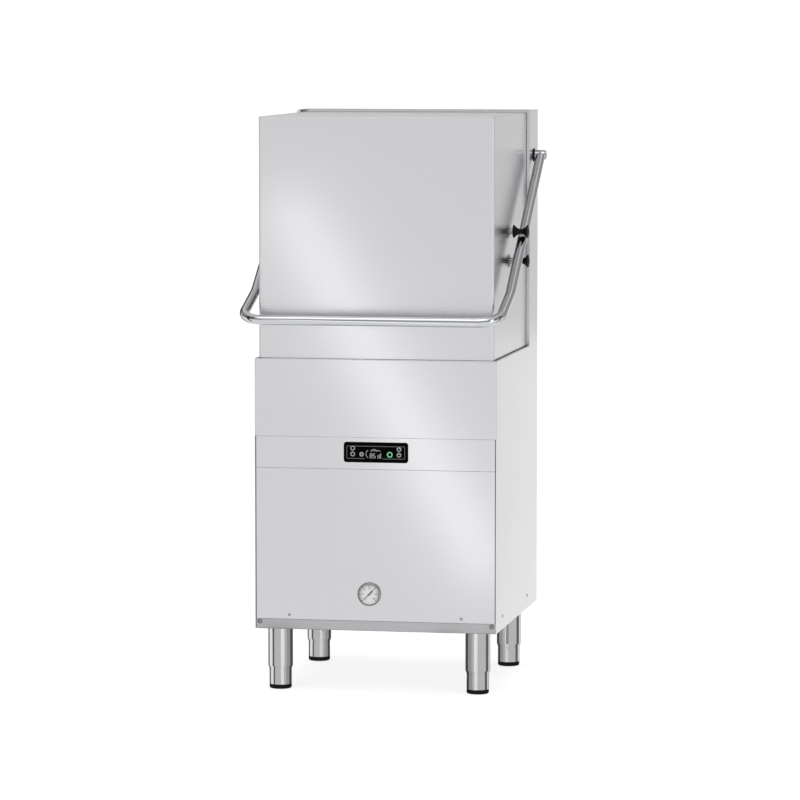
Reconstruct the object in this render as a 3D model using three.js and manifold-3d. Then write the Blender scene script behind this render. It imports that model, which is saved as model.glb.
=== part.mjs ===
// A hood-type commercial dishwasher: a steel cabinet with a wash tank, a column at the back,
// a box hood that slides up the column, and a U-shaped handle that lifts it.
//
// Millimetres, +Z up. Inside the "machine" group X runs to the right, Y runs back from the
// cabinet's front plane and Z runs up from the floor. The group is then moved along Y, so
// that the origin is on the floor under the middle of the whole object.

import * as THREE from 'three';
import { mergeVertices } from 'three/addons/utils/BufferGeometryUtils.js';
import Module from 'manifold-3d';

const wasm = await Module();
wasm.setup();

// ---- driving dimensions -------------------------------------------------------------------

const WIDTH = 620;              // cabinet, side face to side face
const DEPTH = 665;              // cabinet, front plane to rear face
const BASE_Z = 158;             // underside of the cabinet
const RIM_Z = 847;              // top rim of the cabinet, which the hood sinks into
const HEIGHT = 1462;            // top of the column
const COLUMN_Y = 528;           // front edge of the column's side flanges
const SHEET = 1.5;              // steel sheet
const FIT = 0.3;                // clearance between neighbouring pieces

const PLINTH_TOP = 183.5;
const FASCIA_BOTTOM = 569;
const FASCIA_TOP = 649.5;
const PANEL_RETURN = 16;        // folded edge of a front panel
const RIM_RETURN = 5;           // folded edge along the cabinet's rim
const PANEL_HALF = WIDTH / 2 - SHEET - 1.7;     // front panels stand between the side panels

const HOOD_HALF = 301;
const HOOD_FRONT = 12;
const HOOD_BACK = 578;
const HOOD_BOTTOM = 822;
const HOOD_TOP = 1456;

const WALL_Y = 582;             // sheet between the wash chamber and the column

const TANK_HALF = 280;          // inside of the basin
const TANK_FRONT = 40;
const TANK_BACK = 540;
const TANK_FLOOR = 657;
const TANK_SHEET = 2;
const GUTTER_Z = 810;           // channel round the basin that the hood's edge hangs in
const BASIN_RIM = 828;
const SPIN = { y: 290 };        // the wash arms turn about the vertical line X = 0, Y = 290

const TUBE_R = 12.5;            // handle tube
const TUBE_WALL = 1.5;
const ARM_X = 328;              // plane of each handle arm
const BAR = { y: -80, z: 949 };                 // front bar
const KNEE = { y: 100, z: 1010 };               // bend in each arm
const PIVOT = { y: 597, z: 1344 };              // handle's hinge line
const BAR_BEND = 56;
const KNEE_BEND = 120;
const SHAFT_R = 7;
const BOSS_R = 13.5;
const BOSS_X = [313, 341];

const ROLLER_X = [307, 346];
const ROLLER_R = 17;
const ROLLER_WAIST = 6;
const ROLLER_BORE = 4.5;
const PIN_R = 4;
const ROLLERS = { upper: { y: 277, z: 1159 }, lower: { y: 285, z: 1083 } };

const CRANK_LENGTH = 42;
const CRANK_ANGLE = THREE.MathUtils.degToRad(35);
const CRANK_X = [250, 258];
const SPRING_R = 14;
const SPRING_ANCHOR_Z = 930;

const LEG_X = 255;
const LEG_Y = { front: 50, rear: 540 };
const SLEEVE_R = 31.5;
const SLEEVE_BOTTOM = 52;
const FOOT_R = 28.5;
const FOOT_TOP = 112;

const GAUGE = { x: -14.6, z: 252.3 };
const GAUGE_R = 30;
const GAUGE_CAN_R = 25.5;
const GAUGE_FRONT = -6.5;       // front of the bezel
const NEEDLE_ANGLE = THREE.MathUtils.degToRad(225);     // points at the lowest reading
const NEEDLE_LENGTH = 22;
const NEEDLE_TAIL = 12;

const PANEL = { x: 2.5, z: 612.5, width: 165, height: 51.5, corner: 7 };
const PANEL_FRONT = -3;
const PANEL_OPENING = { width: 157, height: 44, corner: 4 };
const WINDOW = { x: -3, z: 609.7, width: 46, height: 31 };
const START = { x: 38.5, z: 607.7, r: 8 };
const PROGRAM = { x: -33.7, z: 607.7, r: 6.5 };
const KEY_SPAN = [-3.9, 9];     // front and back of a push button

const POST_R = 13;              // fixed post that the wash and rinse arms turn on
const ARM_BORE = 13.4;
const PIPE_R = 16;
const UNDER_PIPE_Z = 625;
const TOP_PIPE_Z = 1405;
const RISER_Y = 562;
const STANDPIPE = { x: 200, y: 480, r: 16 };
const SUCTION = { x: -150, y: 120 };
const FILTER_Z = 768;
const HANGER_Y = [260, 320];     // where the filter tray's hooks are
const BOILER = { x: 170, y: 420, r: 90, wall: 3 };

const BASE_FLOOR = BASE_Z + 2;              // inside of the base frame's floor
const STAND_Z = BASE_FLOOR + FIT;           // what stands on that floor starts here
const SERVICE_Y = 628;                      // pipes and cable leave along this line
const INLET = { x: 90, y: SERVICE_Y };
const DRAIN = { x: STANDPIPE.x, y: SERVICE_Y };
const GLAND = { x: -230, y: SERVICE_Y };
const PUMP = { x: SUCTION.x, z: 540 };
const CONTROL_BOX = { x: [-290, -70], y: [30, 90], z: [300, 540] };
const DOSER = { x: [90, 260], y: [40, 90], z: [340, 440] };
const STAND_SHEET = 3;

// ---- shapes --------------------------------------------------------------------------------

// A closed three.js geometry as a solid that can be cut and joined.
function solid(geometry) {
  const bare = geometry.clone();
  bare.deleteAttribute('normal');
  bare.deleteAttribute('uv');
  const merged = mergeVertices(bare, 1e-4);
  const mesh = new wasm.Mesh({
    numProp: 3,
    vertProperties: new Float32Array(merged.attributes.position.array),
    triVerts: new Uint32Array(merged.index.array),
  });
  return new wasm.Manifold(mesh);
}

function geometryOf(body) {
  const mesh = body.getMesh();
  const geometry = new THREE.BufferGeometry();
  geometry.setAttribute('position', new THREE.BufferAttribute(mesh.vertProperties, 3));
  geometry.setIndex(new THREE.BufferAttribute(mesh.triVerts, 1));
  geometry.computeVertexNormals();
  return geometry;
}

function join(...bodies) {
  return bodies.reduce((whole, piece) => whole.add(piece));
}

function cut(body, ...tools) {
  return tools.reduce((rest, tool) => rest.subtract(tool), body);
}

function block([x0, x1], [y0, y1], [z0, z1]) {
  const geometry = new THREE.BoxGeometry(x1 - x0, y1 - y0, z1 - z0);
  geometry.translate((x0 + x1) / 2, (y0 + y1) / 2, (z0 + z1) / 2);
  return solid(geometry);
}

// Turns a shape that was made about or along local Z so that local Z points along an axis.
function turnTo(geometry, axis) {
  if (axis === 'x') {
    geometry.applyMatrix4(new THREE.Matrix4().set(0, 0, 1, 0, 1, 0, 0, 0, 0, 1, 0, 0, 0, 0, 0, 1));
  }
  if (axis === 'y') {
    geometry.applyMatrix4(new THREE.Matrix4().set(1, 0, 0, 0, 0, 0, 1, 0, 0, -1, 0, 0, 0, 0, 0, 1));
  }
  return geometry;
}

// A round rod along an axis, from one value of that axis to another, through a point.
function rod(axis, radius, [from, to], centre, segments = 16) {
  const geometry = new THREE.CylinderGeometry(radius, radius, to - from, segments);
  geometry.rotateX(Math.PI / 2);
  geometry.translate(0, 0, (from + to) / 2);
  turnTo(geometry, axis);
  geometry.translate(centre.x ?? 0, centre.y ?? 0, centre.z ?? 0);
  return solid(geometry);
}

// A turned piece: points are [radius, place along the axis], starting and ending on the axis
// or closing on themselves.
function turned(axis, points, centre, segments = 20) {
  const outline = points.map(([r, a]) => new THREE.Vector2(r, a));
  const geometry = new THREE.LatheGeometry(outline, segments);
  geometry.rotateX(Math.PI / 2);
  turnTo(geometry, axis);
  geometry.translate(centre.x ?? 0, centre.y ?? 0, centre.z ?? 0);
  const body = solid(geometry);
  if (body.volume() > 0) return body;
  return solid(flipped(geometry));
}

function flipped(geometry) {
  const index = geometry.index.array.slice();
  for (let i = 0; i < index.length; i += 3) {
    [index[i], index[i + 1]] = [index[i + 1], index[i]];
  }
  const turnedOver = geometry.clone();
  turnedOver.setIndex(new THREE.BufferAttribute(index, 1));
  return turnedOver;
}

// A flat outline in Y and Z, given thickness along X.
function sidePlate(points, [x0, x1]) {
  const shape = new THREE.Shape(points.map(([y, z]) => new THREE.Vector2(y, z)));
  const geometry = new THREE.ExtrudeGeometry(shape, { depth: x1 - x0, bevelEnabled: false });
  geometry.applyMatrix4(new THREE.Matrix4().set(0, 0, 1, x0, 1, 0, 0, 0, 0, 1, 0, 0, 0, 0, 0, 1));
  return solid(geometry);
}

// A rounded rectangle in X and Z, given thickness along Y.
function roundedPlate({ x, z, width, height, corner }, [y0, y1]) {
  const shape = new THREE.Shape();
  const w = width / 2 - corner;
  const h = height / 2 - corner;
  shape.absarc(w, h, corner, 0, Math.PI / 2);
  shape.absarc(-w, h, corner, Math.PI / 2, Math.PI);
  shape.absarc(-w, -h, corner, Math.PI, 1.5 * Math.PI);
  shape.absarc(w, -h, corner, 1.5 * Math.PI, 2 * Math.PI);
  const options = { depth: y1 - y0, bevelEnabled: false, curveSegments: 5 };
  const geometry = new THREE.ExtrudeGeometry(shape, options);
  geometry.applyMatrix4(new THREE.Matrix4().set(1, 0, 0, x, 0, 0, -1, y1, 0, 1, 0, z, 0, 0, 0, 1));
  return solid(geometry);
}

// A path through chosen stations, so that a straight run needs only its two ends.
class StationPath extends THREE.Curve {
  constructor(stations) {
    super();
    this.stations = stations;
  }

  getSpacedPoints() {
    return this.stations.map((point) => point.clone());
  }

  getTangentAt(u, target = new THREE.Vector3()) {
    const last = this.stations.length - 1;
    const i = Math.round(u * last);
    const before = this.stations[Math.max(i - 1, 0)];
    const here = this.stations[i];
    const after = this.stations[Math.min(i + 1, last)];
    const into = here.clone().sub(before).normalize();
    const out = after.clone().sub(here).normalize();
    return target.copy(into).add(out).normalize();
  }
}

// Stations along straight runs joined by round bends: corners are [x, y, z, bend radius].
function bentStations(corners, stepsPerBend) {
  const points = corners.map(([x, y, z]) => new THREE.Vector3(x, y, z));
  const stations = [points[0]];
  for (let i = 1; i < points.length - 1; i += 1) {
    const radius = corners[i][3];
    const back = points[i - 1].clone().sub(points[i]).normalize();
    const on = points[i + 1].clone().sub(points[i]).normalize();
    const half = back.angleTo(on) / 2;
    const toCentre = back.clone().add(on).normalize();
    const centre = points[i].clone().addScaledVector(toCentre, radius / Math.sin(half));
    const start = points[i].clone().addScaledVector(back, radius / Math.tan(half));
    const axis = back.clone().cross(on).normalize();
    const sweep = -(Math.PI - 2 * half);
    const arm = start.clone().sub(centre);
    for (let k = 0; k <= stepsPerBend; k += 1) {
      const turn = arm.clone().applyAxisAngle(axis, (sweep * k) / stepsPerBend);
      stations.push(centre.clone().add(turn));
    }
  }
  stations.push(points[points.length - 1]);
  return stations;
}

function bentTube(corners, radius, { wall = 0, sides = 12, stepsPerBend = 4 } = {}) {
  const stations = bentStations(corners, stepsPerBend);
  const path = new StationPath(stations);
  const section = new THREE.Shape(circle(radius, sides));
  if (wall > 0) {
    section.holes.push(new THREE.Path(circle(radius - wall, sides)));
  }
  const options = { steps: stations.length - 1, extrudePath: path, bevelEnabled: false };
  const geometry = new THREE.ExtrudeGeometry(section, options);
  const body = solid(geometry);
  if (body.volume() > 0) return body;
  return solid(flipped(mergeVertices(geometry)));
}

function circle(radius, sides) {
  const points = [];
  for (let i = 0; i < sides; i += 1) {
    const angle = (2 * Math.PI * i) / sides;
    points.push(new THREE.Vector2(radius * Math.cos(angle), radius * Math.sin(angle)));
  }
  return points;
}

// A span from -half to +half.
function about(half) {
  return [-half, half];
}

// A span on the right side of the machine, or its mirror image on the left.
function onSide(side, [near, far]) {
  return side > 0 ? [near, far] : [-far, -near];
}

// ---- materials -----------------------------------------------------------------------------

function material(color, roughness, metalness) {
  return new THREE.MeshStandardMaterial({ color, roughness, metalness });
}

const STEEL = material(0xcccbce, 0.38, 1);
const STEEL_DARK = material(0xb0afb2, 0.42, 1);
const POLISHED = material(0xd0d2d4, 0.18, 1);
const BLACK_PLASTIC = material(0x141416, 0.45, 0);
const GREY_PLASTIC = material(0x8a8c8e, 0.5, 0);
const GREEN_PLASTIC = material(0x4fc07a, 0.4, 0);
const WHITE_PLASTIC = material(0xe8e8e2, 0.5, 0);
const DIAL = material(0xe9e6dc, 0.6, 0);
const GLASS = material(0x202426, 0.08, 0);
const CLEAR = material(0xf0f4f5, 0.05, 0);
const BRASS = material(0xb59a55, 0.35, 1);
const GREY_PAINT = material(0x6f767c, 0.5, 0.2);

const machine = new THREE.Group();

function add(name, body, finish) {
  const mesh = new THREE.Mesh(geometryOf(body), finish);
  mesh.name = name;
  machine.add(mesh);
}

// ---- cabinet -------------------------------------------------------------------------------

const SKIN = WIDTH / 2 - SHEET;         // inner face of a side panel
const INSIDE = SKIN - FIT;

function baseFrame() {
  const half = PANEL_HALF - 1;
  const front = 6.5;
  const back = DEPTH - SHEET - 2;
  const top = PLINTH_TOP - FIT;
  const tray = block(about(half), [front, back], [BASE_Z + FIT, top]);
  const hollow = block(about(half - 2), [front + 2, back - 2], [BASE_FLOOR, top + 1]);
  const drainHole = rod('z', 22, [BASE_Z - 1, BASE_FLOOR + 1], DRAIN);
  const inletHole = rod('z', 16, [BASE_Z - 1, BASE_FLOOR + 1], INLET);
  add('base_frame', cut(tray, hollow, drainHole, inletHole), STEEL_DARK);
}

// The strip under the front panels: an upright face turned under at its foot.
function plinth() {
  const face = block(about(INSIDE - 0.5), [3, 3 + SHEET], [BASE_Z, PLINTH_TOP - FIT]);
  const foot = block(about(INSIDE - 0.5), [3, 6.2], [BASE_Z, BASE_Z + SHEET]);
  add('plinth_front', join(face, foot), STEEL_DARK);
}

// A front panel is a shallow pan, folded back on all four edges.
function pan([z0, z1]) {
  const outer = block(about(PANEL_HALF), [0, PANEL_RETURN], [z0, z1]);
  const inner = block(
    about(PANEL_HALF - SHEET),
    [SHEET, PANEL_RETURN + 1],
    [z0 + SHEET, z1 - SHEET],
  );
  return cut(outer, inner);
}

function frontPanels() {
  const gaugeHole = rod('y', GAUGE_CAN_R + 0.5, [-1, 3], GAUGE);
  add('lower_front_panel', cut(pan([PLINTH_TOP + 0.5, FASCIA_BOTTOM]), gaugeHole), STEEL);

  const opening = roundedPlate({ ...PANEL, ...PANEL_OPENING }, [-1, 3]);
  add('control_fascia', cut(pan([FASCIA_BOTTOM + 0.4, FASCIA_TOP]), opening), STEEL);

  const bottom = FASCIA_TOP + 0.4;
  const face = block(about(INSIDE), [0, SHEET], [bottom, RIM_Z]);
  const rim = block(about(INSIDE), [0, RIM_RETURN + 1], [RIM_Z - SHEET, RIM_Z]);
  const foot = block(about(PANEL_HALF), [0, PANEL_RETURN], [bottom, bottom + SHEET]);
  add('upper_front_panel', join(face, rim, foot), STEEL);
}

// One L-shaped sheet closes the cabinet's side and the column's side.
function sidePanel(name, side) {
  const outline = [
    [0, BASE_Z], [DEPTH, BASE_Z], [DEPTH, HEIGHT - SHEET - FIT],
    [COLUMN_Y, HEIGHT - SHEET - FIT], [COLUMN_Y, RIM_Z], [0, RIM_Z],
  ];
  const sheet = sidePlate(outline, onSide(side, [SKIN, WIDTH / 2]));
  const rimSpan = onSide(side, [WIDTH / 2 - RIM_RETURN, WIDTH / 2]);
  const rim = block(rimSpan, [RIM_RETURN + 1.5, COLUMN_Y], [RIM_Z - SHEET, RIM_Z]);
  const flangeSpan = onSide(side, [HOOD_HALF + 1.5, WIDTH / 2]);
  const flange = block(
    flangeSpan,
    [COLUMN_Y, COLUMN_Y + SHEET],
    [RIM_Z - SHEET, HEIGHT - SHEET - FIT],
  );
  const bushHole = rod('x', 12, onSide(side, [300, 320]), PIVOT);
  add(name, cut(join(sheet, rim, flange), bushHole), STEEL);
}

function backPanels() {
  const top = HEIGHT - SHEET - FIT;
  const rear = block(about(INSIDE), [DEPTH - SHEET, DEPTH], [BASE_Z + FIT, top]);
  add('rear_panel', rear, STEEL);

  const wall = block(about(INSIDE), [WALL_Y, WALL_Y + SHEET], [GUTTER_Z + 2, top]);
  const anchors = [1, -1].map((side) => block(
    onSide(side, [232, 250]),
    [WALL_Y + SHEET - 0.5, 642],
    [SPRING_ANCHOR_Z - 4, SPRING_ANCHOR_Z + 4],
  ));
  add('chamber_rear_wall', join(wall, ...anchors), STEEL);

  const z = [HEIGHT - SHEET, HEIGHT];
  const bar = block(about(WIDTH / 2), [HOOD_BACK + 2, DEPTH], z);
  const fingers = [1, -1].map((side) => block(
    onSide(side, [HOOD_HALF + 1.5, WIDTH / 2]),
    [COLUMN_Y, HOOD_BACK + 3],
    z,
  ));
  add('column_top_cap', join(bar, ...fingers), STEEL);
}

function hoodGuide(name, side) {
  const strip = block(onSide(side, [HOOD_HALF + 0.7, INSIDE]), [536, 576], [850, 1440]);
  add(name, strip, WHITE_PLASTIC);
}

// ---- wash tank and what is in it -----------------------------------------------------------

// The deck, its gutter and the basin are one drawn and welded piece.
function washTank() {
  const deckTop = RIM_Z - SHEET - FIT;
  const deckBack = WALL_Y - FIT;
  const deck = block(about(INSIDE), [SHEET + FIT, deckBack], [GUTTER_Z - 2, deckTop]);
  const deckHollow = block(
    about(INSIDE - SHEET),
    [2 * SHEET + FIT, deckBack - SHEET],
    [GUTTER_Z, deckTop + 1],
  );
  const t = TANK_SHEET;
  const shell = block(
    about(TANK_HALF + t),
    [TANK_FRONT - t, TANK_BACK + t],
    [TANK_FLOOR - t, BASIN_RIM],
  );
  const basin = block(about(TANK_HALF), [TANK_FRONT, TANK_BACK], [TANK_FLOOR, BASIN_RIM + 1]);
  const postHole = rod('z', POST_R + 0.5, [TANK_FLOOR - 5, TANK_FLOOR + 5], SPIN);
  const drainHole = rod('z', STANDPIPE.r + 0.6, [TANK_FLOOR - 5, TANK_FLOOR + 5], STANDPIPE);
  const suctionHole = rod('z', 18, [TANK_FLOOR - 5, TANK_FLOOR + 5], SUCTION);
  const riserHole = rod('z', PIPE_R + 0.5, [GUTTER_Z - 5, GUTTER_Z + 5], { y: RISER_Y });
  const tray = cut(join(cut(deck, deckHollow), shell), basin);
  const holes = [postHole, drainHole, suctionHole, riserHole];
  add('wash_tank', cut(tray, ...holes), STEEL);
}

// A flat strainer with a turned-up edge, hung from the basin's rim by a hook on each side.
function filterTray() {
  const t = TANK_SHEET;
  const top = FILTER_Z + 9;
  const x = about(TANK_HALF - t);
  const y = [TANK_FRONT + t, TANK_BACK - t];
  const sheet = block(x, y, [FILTER_Z, FILTER_Z + t]);
  const edge = block(x, y, [FILTER_Z, top]);
  const inner = block(about(TANK_HALF - 2 * t), [y[0] + t, y[1] - t], [FILTER_Z - 1, top + 1]);
  const postHole = rod('z', POST_R + 8, [FILTER_Z - 2, FILTER_Z + 4], SPIN);
  const pipeHole = rod('z', STANDPIPE.r + 2, [FILTER_Z - 2, FILTER_Z + 4], STANDPIPE);
  const hangers = [1, -1].flatMap((side) => [
    block(onSide(side, [276.5, 278]), HANGER_Y, [FILTER_Z, BASIN_RIM + FIT + SHEET]),
    block(onSide(side, [276.5, 281.5]), HANGER_Y, [BASIN_RIM + FIT, BASIN_RIM + FIT + SHEET]),
  ]);
  const tray = join(sheet, cut(edge, inner), ...hangers);
  add('filter_tray', cut(tray, postHole, pipeHole), STEEL);
}

// Open overflow pipe that is lifted out to empty the tank.
function overflowStandpipe() {
  const r = STANDPIPE.r;
  const foot = 656;
  const top = 800;
  const outline = [
    [r - 2, foot], [r, foot], [r, top - 6], [r + 4, top - 4], [r + 4, top], [r - 2, top], [r - 2, foot],
  ];
  add('overflow_standpipe', turned('z', outline, STANDPIPE, 20), STEEL);
}

function rackGuide() {
  const x = about(TANK_HALF + 2);
  const lipZ = [BASIN_RIM + FIT, 868];
  const shelfZ = [848, 850];
  const rails = [
    block(x, [TANK_FRONT - 2, TANK_FRONT], lipZ),
    block(x, [TANK_FRONT - 1, TANK_FRONT + 20], shelfZ),
    block(x, [TANK_BACK, TANK_BACK + 2], lipZ),
    block(x, [TANK_BACK - 20, TANK_BACK + 1], shelfZ),
  ];
  const bars = [1, -1].map((side) => block(
    onSide(side, [268, 280]),
    [TANK_FRONT - 1, TANK_BACK + 1],
    [832, 846],
  ));
  add('rack_guide', join(...rails, ...bars), STEEL);
}

function tankElement() {
  const z = 690;
  const run = [[-220, 43, z], [-220, 470, z, 40], [-100, 470, z, 40], [-100, 43, z]];
  const flange = block([-240, -80], [TANK_FRONT + FIT, 44], [z - 20, z + 20]);
  add('tank_element', join(bentTube(run, 5, { sides: 8 }), flange), POLISHED);
}

// Fixed pipework: the lower post, the pipe under the tank, the riser up the chamber's back,
// the pipe under the hood's top and the upper post.
function washManifold() {
  const x = 0;
  const { y } = SPIN;
  const bend = 30;
  const run = [
    [x, y, UNDER_PIPE_Z], [x, RISER_Y, UNDER_PIPE_Z, bend],
    [x, RISER_Y, TOP_PIPE_Z, bend], [x, y, TOP_PIPE_Z],
  ];
  const pipe = bentTube(run, PIPE_R);
  const centre = { x, y };
  const lower = [
    rod('z', POST_R, [UNDER_PIPE_Z - PIPE_R, BASIN_RIM - 2], centre),
    rod('z', POST_R + 4, [776, 781.7], centre),
    rod('z', POST_R + 4, [824.4, BASIN_RIM], centre),
  ];
  const upper = [
    rod('z', POST_R, [1337, TOP_PIPE_Z + PIPE_R], centre),
    rod('z', POST_R + 4, [1336, 1341.7], centre),
  ];
  const branch = [
    rod('x', PIPE_R - 2, [SUCTION.x, 0], { y, z: UNDER_PIPE_Z }),
    rod('z', PIPE_R - 2, [609, UNDER_PIPE_Z], { x: SUCTION.x, y }),
    rod('z', PIPE_R + 1, [UNDER_PIPE_Z - PIPE_R - 1, UNDER_PIPE_Z + PIPE_R + 1], centre),
  ];
  add('wash_manifold', join(pipe, ...lower, ...upper, ...branch), STEEL);
}

// A spray arm: a flat tube with rounded ends on a bored hub.
function sprayArm(name, { reach, width, height, hubR, hub, z, finish }) {
  const { y } = SPIN;
  const half = width / 2;
  const bar = block(about(reach - half), [y - half, y + half], [z, z + height]);
  const tip = reach - half;
  const ends = [1, -1].map((side) => rod('z', half, [z, z + height], { x: side * tip, y }, 16));
  const collar = rod('z', hubR, hub, { y });
  const bore = rod('z', ARM_BORE, [hub[0] - 1, hub[1] + 1], { y });
  add(name, cut(join(bar, ...ends, collar), bore), finish);
}

function sprayArms() {
  const wash = { reach: 235, width: 30, height: 14, hubR: 24, finish: STEEL };
  const rinse = { reach: 225, width: 14, height: 8, hubR: 19, finish: POLISHED };
  sprayArm('lower_wash_arm', { ...wash, z: 787, hub: [782, 806] });
  sprayArm('lower_rinse_arm', { ...rinse, z: 812, hub: [808, 824] });
  sprayArm('upper_wash_arm', { ...wash, z: 1367, hub: [1361, 1385] });
  sprayArm('upper_rinse_arm', { ...rinse, z: 1346, hub: [1342, 1358] });
}

// ---- machinery under the tank --------------------------------------------------------------

function washPump() {
  const { x, z } = PUMP;
  const standTop = 444;
  const volute = rod('y', 52, [265, 315], PUMP);
  const outlet = rod('z', 14, [z, UNDER_PIPE_Z - PIPE_R - 0.4], { x, y: SPIN.y });
  const motor = rod('y', 58, [312, 500], PUMP);
  const foot = block([x - 50, x + 50], [330, 480], [standTop - 4, z]);
  const stand = block([x - 60, x + 60], [335, 475], [STAND_Z, standTop]);
  const standHollow = block([x - 57, x + 57], [330, 480], [BASE_Z + 1, standTop - 3.5]);
  add('wash_pump', join(volute, outlet, motor, foot, cut(stand, standHollow)), GREY_PAINT);
}

function suctionPipe() {
  const { x, y } = SUCTION;
  const run = [[x, y, TANK_FLOOR - TANK_SHEET - FIT], [x, y, PUMP.z, 50], [x, 264.6, PUMP.z]];
  add('suction_pipe', bentTube(run, 20), GREY_PLASTIC);
}

// Rinse boiler: a domed steel bottle on a skirt, open at its filling port.
function rinseBoiler() {
  const { r, wall } = BOILER;
  const bottom = 222;
  const shoulder = 455;
  const neck = 12;
  const top = 480;
  const outline = [
    [0, bottom], [r - wall, bottom], [r - wall, STAND_Z], [r, STAND_Z], [r, shoulder],
    [40, top - 2], [neck, top], [neck, top - wall], [39, top - 5], [r - wall, shoulder - 2],
    [r - wall, bottom + wall], [0, bottom + wall],
  ];
  add('rinse_boiler', turned('z', outline, BOILER, 20), STEEL);
}

function electricalBox() {
  const { x, y, z } = CONTROL_BOX;
  const box = block(x, y, z);
  const foot = block(x, [y[0], y[0] + STAND_SHEET], [STAND_Z, z[0] + 1]);
  add('electrical_box', join(box, foot), GREY_PLASTIC);
}

function chemicalDoser() {
  const { x, y, z } = DOSER;
  const headZ = (z[0] + z[1]) / 2;
  const headX = [x[0] + 40, x[1] - 40];
  const box = block(x, y, z);
  const heads = headX.map((place) => rod('y', 28, [y[0] - 18, y[0] + 1], { x: place, z: headZ }));
  const stand = block(x, [y[1] - STAND_SHEET, y[1]], [STAND_Z, z[0] + 1]);
  add('chemical_doser', join(box, ...heads, stand), BLACK_PLASTIC);
}

// Water inlet valve, drain pipe and cable gland, which all leave through the base.
function services() {
  const valve = 16;             // half the side of the valve's body
  const inlet = [
    rod('z', 13, [136, 230], INLET, 16),
    block([INLET.x - valve, INLET.x + valve], [INLET.y - valve, INLET.y + valve], [180, 222]),
  ];
  add('water_inlet_valve', join(...inlet), BRASS);

  const { x, y } = STANDPIPE;
  const bend = 50;
  const runZ = 570;
  const run = [
    [x, y, TANK_FLOOR - TANK_SHEET - FIT], [x, y, runZ, bend],
    [x, DRAIN.y, runZ, bend], [x, DRAIN.y, 132],
  ];
  add('drain_pipe', bentTube(run, 19), GREY_PLASTIC);

  const nut = rod('z', 15, [146, BASE_Z - FIT + 0.2], GLAND, 6);
  const throat = rod('z', 11, [136, 147], GLAND, 16);
  const bore = rod('z', 5, [130, 165], GLAND, 12);
  add('cable_gland', cut(join(nut, throat), bore), BLACK_PLASTIC);
}

// ---- controls ------------------------------------------------------------------------------

function controlPanel() {
  const plate = roundedPlate(PANEL, [PANEL_FRONT, -FIT]);
  const housing = block([-74, 79], [-1, 60], [592.5, 632.5]);
  const pocket = roundedPlate({ ...WINDOW, corner: 2 }, [-4, -1]);
  const holes = [START, PROGRAM].map((key) => rod('y', key.r + 0.4, [-4, 12], key));
  add('control_bezel', cut(join(plate, housing), pocket, ...holes), BLACK_PLASTIC);

  const glass = { ...WINDOW, width: WINDOW.width - 0.8, height: WINDOW.height - 0.8, corner: 1.6 };
  add('display_window', roundedPlate(glass, [-2.9, -1.3]), GLASS);
  add('button_start', rod('y', START.r, KEY_SPAN, START), GREEN_PLASTIC);
  add('button_program', rod('y', PROGRAM.r, KEY_SPAN, PROGRAM), GREY_PLASTIC);
}

// Round thermometer: a can behind the panel, a bezel in front of it, dial, needle and glass.
function thermometer() {
  const bore = GAUGE_R - 2.4;
  const caseOutline = [
    [0, 30], [GAUGE_CAN_R, 30], [GAUGE_CAN_R, -FIT], [GAUGE_R, -FIT], [GAUGE_R, GAUGE_FRONT + 1.5],
    [GAUGE_R - 1.5, GAUGE_FRONT], [bore, GAUGE_FRONT], [bore, -1.5], [0, -1.5],
  ];
  add('gauge_case', turned('y', caseOutline, GAUGE, 28), POLISHED);
  add('gauge_dial', rod('y', bore - 0.4, [-2.6, -1.8], GAUGE, 28), DIAL);
  add('gauge_glass', rod('y', bore - 0.4, [-5.8, -5.0], GAUGE, 28), CLEAR);

  // Half widths of the needle at its tail, its hub and its tip.
  const halves = [[-NEEDLE_TAIL, 1.5], [0, 1.1], [NEEDLE_LENGTH, 0.35]];
  const below = halves.map(([along, half]) => new THREE.Vector2(along, -half));
  const above = halves.map(([along, half]) => new THREE.Vector2(along, half));
  const blade = new THREE.Shape([...below, ...above.reverse()]);
  const flat = new THREE.ExtrudeGeometry(blade, { depth: 0.7, bevelEnabled: false });
  flat.rotateZ(NEEDLE_ANGLE);
  flat.applyMatrix4(
    new THREE.Matrix4().set(1, 0, 0, GAUGE.x, 0, 0, -1, -3.4, 0, 1, 0, GAUGE.z, 0, 0, 0, 1),
  );
  const hub = rod('y', 2.6, [-4.5, -3], GAUGE, 16);
  add('gauge_needle', join(solid(flat), hub), BLACK_PLASTIC);
}

// ---- legs ----------------------------------------------------------------------------------

function leg(place, x, y) {
  const bore = FOOT_R + 0.4;
  const top = BASE_Z;
  const boreTop = 150;
  const sleeve = [
    [0, top], [SLEEVE_R, top], [SLEEVE_R, SLEEVE_BOTTOM],
    [bore, SLEEVE_BOTTOM], [bore, boreTop], [0, boreTop],
  ];
  add(`leg_sleeve_${place}`, turned('z', sleeve, { x, y }), POLISHED);
  const foot = [[0, 0], [FOOT_R - 2, 0], [FOOT_R, 3], [FOOT_R, FOOT_TOP], [0, FOOT_TOP]];
  add(`adjustable_foot_${place}`, turned('z', foot, { x, y }), POLISHED);
}

// ---- hood ----------------------------------------------------------------------------------

// A side of the hood carries two pins, which the rollers turn on.
function hoodSide(name, side) {
  const sheet = block(
    onSide(side, [HOOD_HALF - SHEET, HOOD_HALF]),
    [HOOD_FRONT + SHEET + FIT, HOOD_BACK],
    [HOOD_BOTTOM, HOOD_TOP - SHEET - FIT],
  );
  const pins = Object.values(ROLLERS).flatMap((centre) => [
    rod('x', 8, onSide(side, [HOOD_HALF - 1, ROLLER_X[0] - 0.5]), centre, 16),
    rod('x', PIN_R, onSide(side, [HOOD_HALF - 1, ROLLER_X[1] + 1]), centre, 16),
    rod('x', 7, onSide(side, [ROLLER_X[1] + 0.5, ROLLER_X[1] + 2]), centre, 16),
  ]);
  add(name, join(sheet, ...pins), STEEL);
}

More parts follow.
